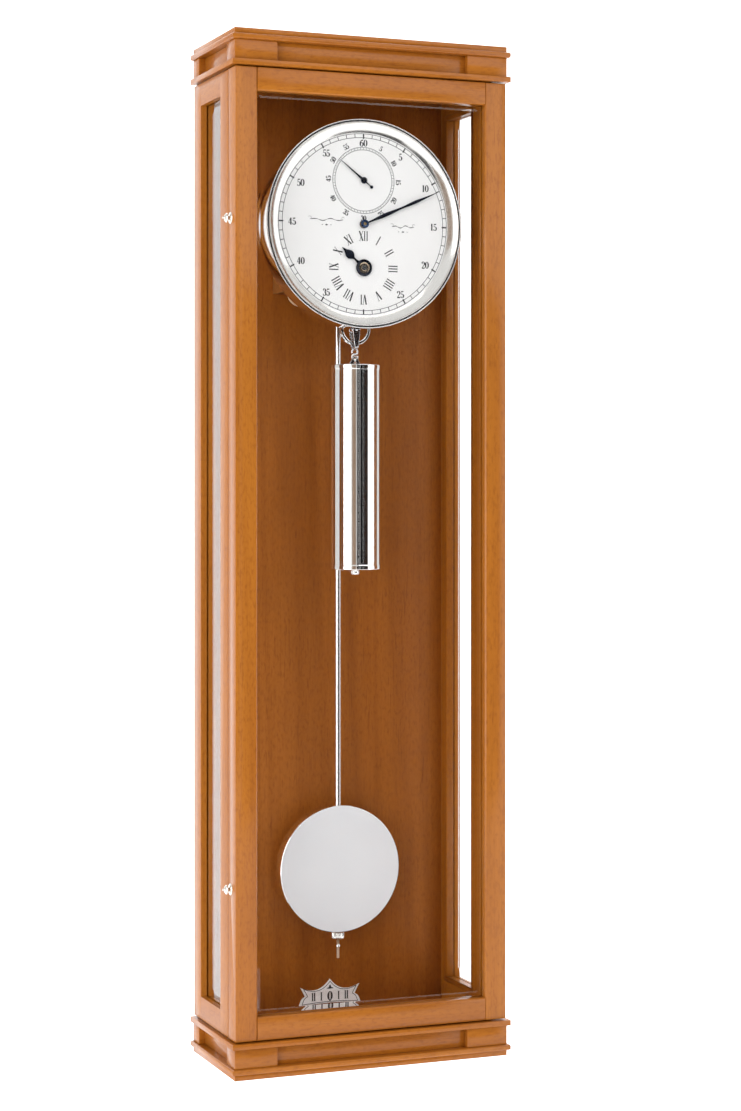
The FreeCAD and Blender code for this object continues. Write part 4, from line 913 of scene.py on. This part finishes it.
def weight():
    """Polished tube with pressed caps, a nut below, and the triangular eye above."""
    axis = Vector((0, middle("weight_tube").y, 0))
    reach = (high("weight_tube").x - low("weight_tube").x) / 2
    tube_low, tube_high = low("weight_tube").z, high("weight_tube").z
    tube = [(2.6 * MM, tube_low), (reach, tube_low), (reach, tube_high), (2.6 * MM, tube_high)]
    lathe("weight_tube_piece", tube, axis, "z", NICKEL, "weight", ("weight_tube",), 192)
    reach = high("weight_caps").x
    corner = 0.8 * MM
    caps = ("upper_weight_cap", tube_high, WEIGHT_HIGH), ("lower_weight_cap", tube_low, WEIGHT_LOW)
    for name, base, crown in caps:
        up = 1 if crown > base else -1
        cap = [(2.6 * MM, base), (reach - 0.1 * MM, base), (reach, base + up * 0.15 * MM)]
        cap += [(reach - corner + r, crown - up * corner + up * z) for r, z in arc((0, 0), corner, 0, 90, 6)]
        cap += [(reach - 5 * MM, crown - up * 0.25 * MM), (2.6 * MM, crown - up * 0.3 * MM)]
        lathe(name, cap, axis, "z", NICKEL, "weight", ("weight_caps",), 192)
    base = low("weight_rod").z
    knob = ((0, 0), (2.6, 0), (3.9, 0.6), (4.6, 1.9), (4.6, 3.6), (3.9, 4.6))
    nut = [(r * MM, base + z * MM) for r, z in knob]
    nut += [(3.9 * MM, WEIGHT_LOW), (2.4 * MM, WEIGHT_LOW), (2.4 * MM, WEIGHT_HIGH), (0, WEIGHT_HIGH)]
    lathe("weight_nut", nut, axis, "z", NICKEL, "weight", ("weight_rod",), 72)
    foot, side, top = 1.0 * MM, 5.4 * MM, 8.6 * MM
    eye = [(-side, 0), (side, 0)] + arc((side - foot, foot * 1.3), foot, -30, 40, 4)
    eye += arc((0, top - 2.2 * MM), 2.3 * MM, 30, 150, 10) + arc((foot - side, foot * 1.3), foot, 140, 210, 4)
    spot = Vector((0, 0, WEIGHT_HIGH))
    hole, pin = circle((0, top - 2.9 * MM), 1.25 * MM, 20), circle((0, 2.3 * MM), 1.0 * MM, 20)
    plate(
        "weight_eye", [eye, hole, pin], spot, axis.y - 1 * MM, 2 * MM, NICKEL,
        "weight", ("weight_rod",), 0.3 * MM,
    )


def pulley_block():
    """Spoked pulley in its stirrup, with the S-hook that carries the weight."""
    centre = PULLEY.copy()
    reach = (high("pulley").z - low("pulley").z) / 2
    # (depth below the edge, distance from the middle plane), in mm, from the bore side round the groove
    section = [(3.1, 1.4), (3.1, -1.4), (2.9, -1.9), (2.4, -2.1), (2.1, -1.7), (0.9, -1.7)]
    section += [(0.7, -2.1), (0.4, -2.4), (0.0, -2.0), (0.1, -1.4), (2.1, -0.7), (2.1, 0.7)]
    section += [(0.1, 1.4), (0.0, 2.0), (0.5, 2.4), (2.4, 2.1)]
    rim = [(reach - r * MM, y * MM) for r, y in section]
    lathe("pulley_rim", rim, centre, "y", NICKEL, "pulley", ("pulley",), 144)
    hub = [(2.1, -3.4), (3.6, -3.4), (4.0, -3.0), (4.0, 3.0), (3.6, 3.4), (2.1, 3.4)]
    hub = [(r * MM, y * MM) for r, y in hub]
    lathe("pulley_hub", hub, centre, "y", NICKEL, "pulley", (), 64)
    for spoke in range(3):
        outline = [(-0.8 * MM, 3.6 * MM), (-0.6 * MM, 8 * MM), (-0.9 * MM, reach - 2.9 * MM)]
        outline += [(-x, z) for x, z in reversed(outline)]
        plate(
            f"pulley_spoke_{spoke}", [outline], centre, centre.y - 0.8 * MM, 1.6 * MM, NICKEL,
            "pulley", (), 0.3 * MM, spoke * 120 + 60,
        )
    cheek = [(2.0 * MM, -17.2 * MM)] + arc((0, 0), 4 * MM, -12, 192, 16) + [(-2.0 * MM, -17.2 * MM)]
    for name, front in (("front", -5.5 * MM), ("rear", 4.3 * MM)):
        plate(
            f"stirrup_{name}", [cheek], centre, centre.y + front, 1.2 * MM, STEEL, "weight",
            ("pulley_stirrup",), 0.3 * MM,
        )
    pin = [(0, -6.0), (1.3, -6.0), (1.9, -5.6), (1.98, -5.3), (1.98, 5.3), (1.9, 5.6), (1.3, 6.0), (0, 6.0)]
    pin = [(r * MM, y * MM) for r, y in pin]
    lathe("pulley_pin", pin, centre, "y", STEEL, "weight", (), 48)
    bend = arc((0, 0), 4.9 * MM, 180, 360, 14)
    under = centre + Vector((0, 0, -17.0 * MM))
    points, faces = [], []
    for side in (-2.0 * MM, 2.0 * MM):
        for scale in (1.12, 0.9):
            points += [under + Vector((side, y * scale, z * 0.55 * scale)) for y, z in bend]
    count = len(bend)
    for i in range(count - 1):
        outer_a, inner_a, outer_b, inner_b = (k * count for k in range(4))
        faces += [
            (outer_a + i, outer_a + i + 1, inner_a + i + 1, inner_a + i),
            (outer_b + i, inner_b + i, inner_b + i + 1, outer_b + i + 1),
            (outer_a + i, outer_b + i, outer_b + i + 1, outer_a + i + 1),
            (inner_a + i, inner_a + i + 1, inner_b + i + 1, inner_b + i),
        ]
    for i in (0, count - 1):
        faces.append((i, count + i, 3 * count + i, 2 * count + i))
    mesh = evaluated(meshed("stirrup_bend", points, faces), 0.25 * MM)
    put("stirrup_bend", mesh, STEEL, "weight", ("pulley_stirrup",))
    hook_top = under.z - 2.9 * MM
    eye = WEIGHT_HIGH + 5.7 * MM
    reach = (hook_top - eye) / 2
    middle_z = (hook_top + eye) / 2
    upper = arc((0, middle_z + reach / 2 + 0.2 * MM), reach / 2 + 0.5 * MM, -60, 205, 16)
    lower = arc((0, middle_z - reach / 2 - 0.2 * MM), reach / 2 + 0.5 * MM, 120, 385, 16)
    path = [(x, centre.y, z) for x, z in reversed(upper)] + [(x, centre.y, z) for x, z in lower]
    wire("weight_hook", path, 1.05 * MM, NICKEL, "weight", ("pulley_stirrup",))


# ---------------------------------------------------------------- pendulum

def pendulum():
    """Polished rod, matt silvered bob with a bright edge, fluted nut, collar and threaded tip."""
    axis = Vector((0, BOB.y, 0))
    bob_top, bob_foot = high("pendulum_bob").z, low("pendulum_bob").z
    rod_top, tip = high("pendulum_rod").z, low("pendulum_rod").z
    shaft = [(0, bob_foot), (2.85 * MM, bob_foot), (2.85 * MM, rod_top - 12 * MM)]
    shaft += [(2.2 * MM, rod_top - 10 * MM), (0, rod_top - 10 * MM)]
    lathe("pendulum_shaft", shaft, axis, "z", STEEL, "pendulum", ("pendulum_rod",), 72)
    hook = [(-3.4, -10), (3.4, -10), (3.4, -1.5), (2.4, 0), (-2.4, 0), (-3.4, -1.5)]
    hook = [(x * MM, z * MM) for x, z in hook]
    spot = Vector((0, 0, rod_top))
    plate(
        "pendulum_hook", [hook], spot, axis.y - 3.2 * MM, 6.4 * MM, STEEL,
        "pendulum", ("pendulum_rod",), 0.4 * MM,
    )
    pitch = 0.5 * MM
    thread = [(0, tip), (0.9 * MM, tip), (1.25 * MM, tip + 0.5 * MM)]
    level = tip + 0.5 * MM
    while level < bob_foot - pitch:
        thread += [(1.45 * MM, level + pitch * 0.5), (1.25 * MM, level + pitch)]
        level += pitch
    thread += [(1.25 * MM, bob_foot + 0.5 * MM), (0, bob_foot + 0.5 * MM)]
    lathe("pendulum_thread", thread, axis, "z", THREAD, "pendulum", ("pendulum_rod",), 32)
    collar_base = tip + 11 * MM
    collar = [(1.2, 0), (1.8, 0), (2.1, 0.4), (2.1, 2.6), (1.8, 3.0), (1.2, 3.0)]
    collar = [(r * MM, collar_base + z * MM) for r, z in collar]
    lathe("pendulum_collar", collar, axis, "z", NICKEL, "pendulum", (), 48)

    reach = (bob_top - bob_foot) / 2
    half = (high("pendulum_bob").y - low("pendulum_bob").y) / 2
    edge, flat = reach - 0.6 * MM, half - 0.1 * MM
    face = [(0.0, -flat), (edge, -flat), (edge, flat), (0.0, flat)]
    lathe("bob_faces", face, BOB, "y", SATIN, "pendulum", ("pendulum_bob",), 192)
    rim = [(reach - 0.65 * MM, -half + 0.05 * MM), (reach - 0.5 * MM, -half)]
    rim += [(reach - 0.3 * MM, -half), (reach, -half + 0.35 * MM)]
    rim += [(radius, -along) for radius, along in reversed(rim)]
    lathe("bob_rim", rim, BOB, "y", NICKEL, "pendulum", ("pendulum_bob",), 192)
    size = high("rating_nut").x
    tall = (high("rating_nut").z - low("rating_nut").z) / 2
    nut = [(1.5 * MM, -tall), (size - 1.2 * MM, -tall)]
    nut += [(size - 0.3 * MM, -tall + 0.5 * MM), (size, -tall + 1.2 * MM)]
    nut += [(radius, -along) for radius, along in reversed(nut)]
    spot = Vector((0, NUT.y, NUT.z))
    lathe(
        "rating_nut_piece", nut, spot, "z", BEZEL,
        "rating_nut", ("rating_nut",), 216, 18, 0.16,
    )


def beat_scale():
    """A small white crest under the pendulum's tip, with a black border and plain numerals."""
    top, base = high("beat_scale").z, low("beat_scale").z
    wide, tall = high("beat_scale").x, top - base
    top_edge = [(0, 0), (0.15, 0.21), (0.34, 0.36), (0.56, 0.41), (0.78, 0.36), (0.95, 0.27)]
    right = smooth([(x * wide, -z * tall) for x, z in top_edge], 6)
    side = smooth([(x * wide, -z * tall) for x, z in ((0.95, 0.27), (0.87, 0.45), (0.80, 0.63))], 5)
    side += smooth([(x * wide, -z * tall) for x, z in ((0.80, 0.63), (0.92, 0.75), (1.0, 1.0))], 5)[1:]
    foot = smooth([(x * wide, -z * tall) for x, z in ((1.0, 1.0), (0.5, 0.95), (0, 0.93))], 5)
    half = right + side[1:] + foot[1:]
    loop = half + [(-x, z) for x, z in reversed(half[1:-1])]
    spot = Vector((0, 0, top))
    front = low("beat_scale").y
    white = enamel("crest_white", (0.985, 0.98, 0.975))
    plate(
        "beat_scale_piece", [loop], spot, front, 1.4 * MM, white,
        "case", ("beat_scale",), 0.2 * MM,
    )
    sheet = Print(front - 0.04 * MM)
    heart = -0.6 * tall
    border = [(x * 0.9, heart + (z - heart) * 0.84) for x, z in half]
    for mirror in (1, -1):
        sheet.ribbon([(mirror * x, z, 0.3 * MM) for x, z in border], placer(spot))
    centre = spot + Vector((0, 0, -0.66 * tall))
    marks = (-17.5, "II", 8.2), (-9.2, "I", 8.2), (0, "0", 9.0), (9.2, "I", 8.2), (17.5, "II", 8.2)
    for x, text, height in marks:
        place = centre + Vector((x * MM, 0, 0))
        number(sheet, text, place, 0, 0, height * MM, weight=1.7)
    for x in (-17.5, -9.2, 9.2, 17.5):
        for z in (-4.1, 4.1):
            reach = 2.3 * MM if abs(x) > 10 else 1.3 * MM
            serif = [(x * MM - reach, z * MM, 0.1 * MM), (x * MM + reach, z * MM, 0.1 * MM)]
            sheet.ribbon(serif, placer(centre))
    sheet.ribbon([(0, 4.3 * MM, 0.14 * MM), (0, -4.3 * MM, 0.14 * MM)], placer(centre))
    point = [(0, -4.2 * MM, 0.15 * MM), (0, -5.0 * MM, 0.8 * MM), (0, -6.0 * MM, 0.02 * MM)]
    sheet.ribbon(point, placer(centre))
    crest = spot + Vector((0, 0, -0.32 * tall))
    spire = [(2.8, 0.02), (1.2, 1.0), (0, 1.2), (-1.2, 2.2)]
    sheet.ribbon([(0, z * MM, width * MM) for z, width in spire], placer(crest))
    leaves = [(-3.8, -1.5, 0.05), (-2.2, -0.8, 0.6), (0, -1.2, 0.5), (2.2, -0.8, 0.6), (3.8, -1.5, 0.05)]
    sheet.ribbon([(x * MM, z * MM, width * MM) for x, z, width in leaves], placer(crest))
    sheet.finish("beat_scale_print", "case")


def movement():
    dress(BRASS, "great_wheel", "centre_wheel", "third_wheel", "escape_wheel", "minute_wheel")
    dress(BRONZE, "hour_wheel")
    dress(STEEL, "winding_drum")
    softened("front_plate", 0.25 * MM, PLATE_BRASS, "case")
    softened("back_plate", 0.25 * MM, PLATE_BRASS, "case")
    softened("movement_bracket", 0.3 * MM, BROWN_STEEL, "case")
    softened("suspension_cock", 0.3 * MM, BRASS, "case")
    dress(STEEL, "suspension_spring", "pallets", "weight_cable")
    dress(ENAMEL, "dial_plate")
    front = min(low("hour_wheel").y, low("hour_hand").y) - 0.25 * MM
    bush = [(2.6, 0.6), (2.7, 0.15), (3.3, 0.0), (4.2, 0.0), (5.3, 0.3), (5.5, 0.6), (5.5, 1.2), (2.6, 1.2)]
    spot = Vector((0, front, HOURS.z))
    lathe("hour_bush", [(r * MM, y * MM) for r, y in bush], spot, "y", BRONZE, "hour_pipe", (), 64)


camera()
lights()
sweep()
BLACK, BROWN = (0.008, 0.008, 0.009), (0.22, 0.16, 0.12)
card("black_card_near", -0.50, 0.05, BLACK)
card("black_card_wide", 0.08, 1.37, BLACK, (-1.78, -1.26), (-1.78, 0.33))
card("brown_card", -1.44, -0.62, BROWN)
case()
latches()
dial_case()
dial_print()
hands()
weight()
pulley_block()
pendulum()
beat_scale()
movement()
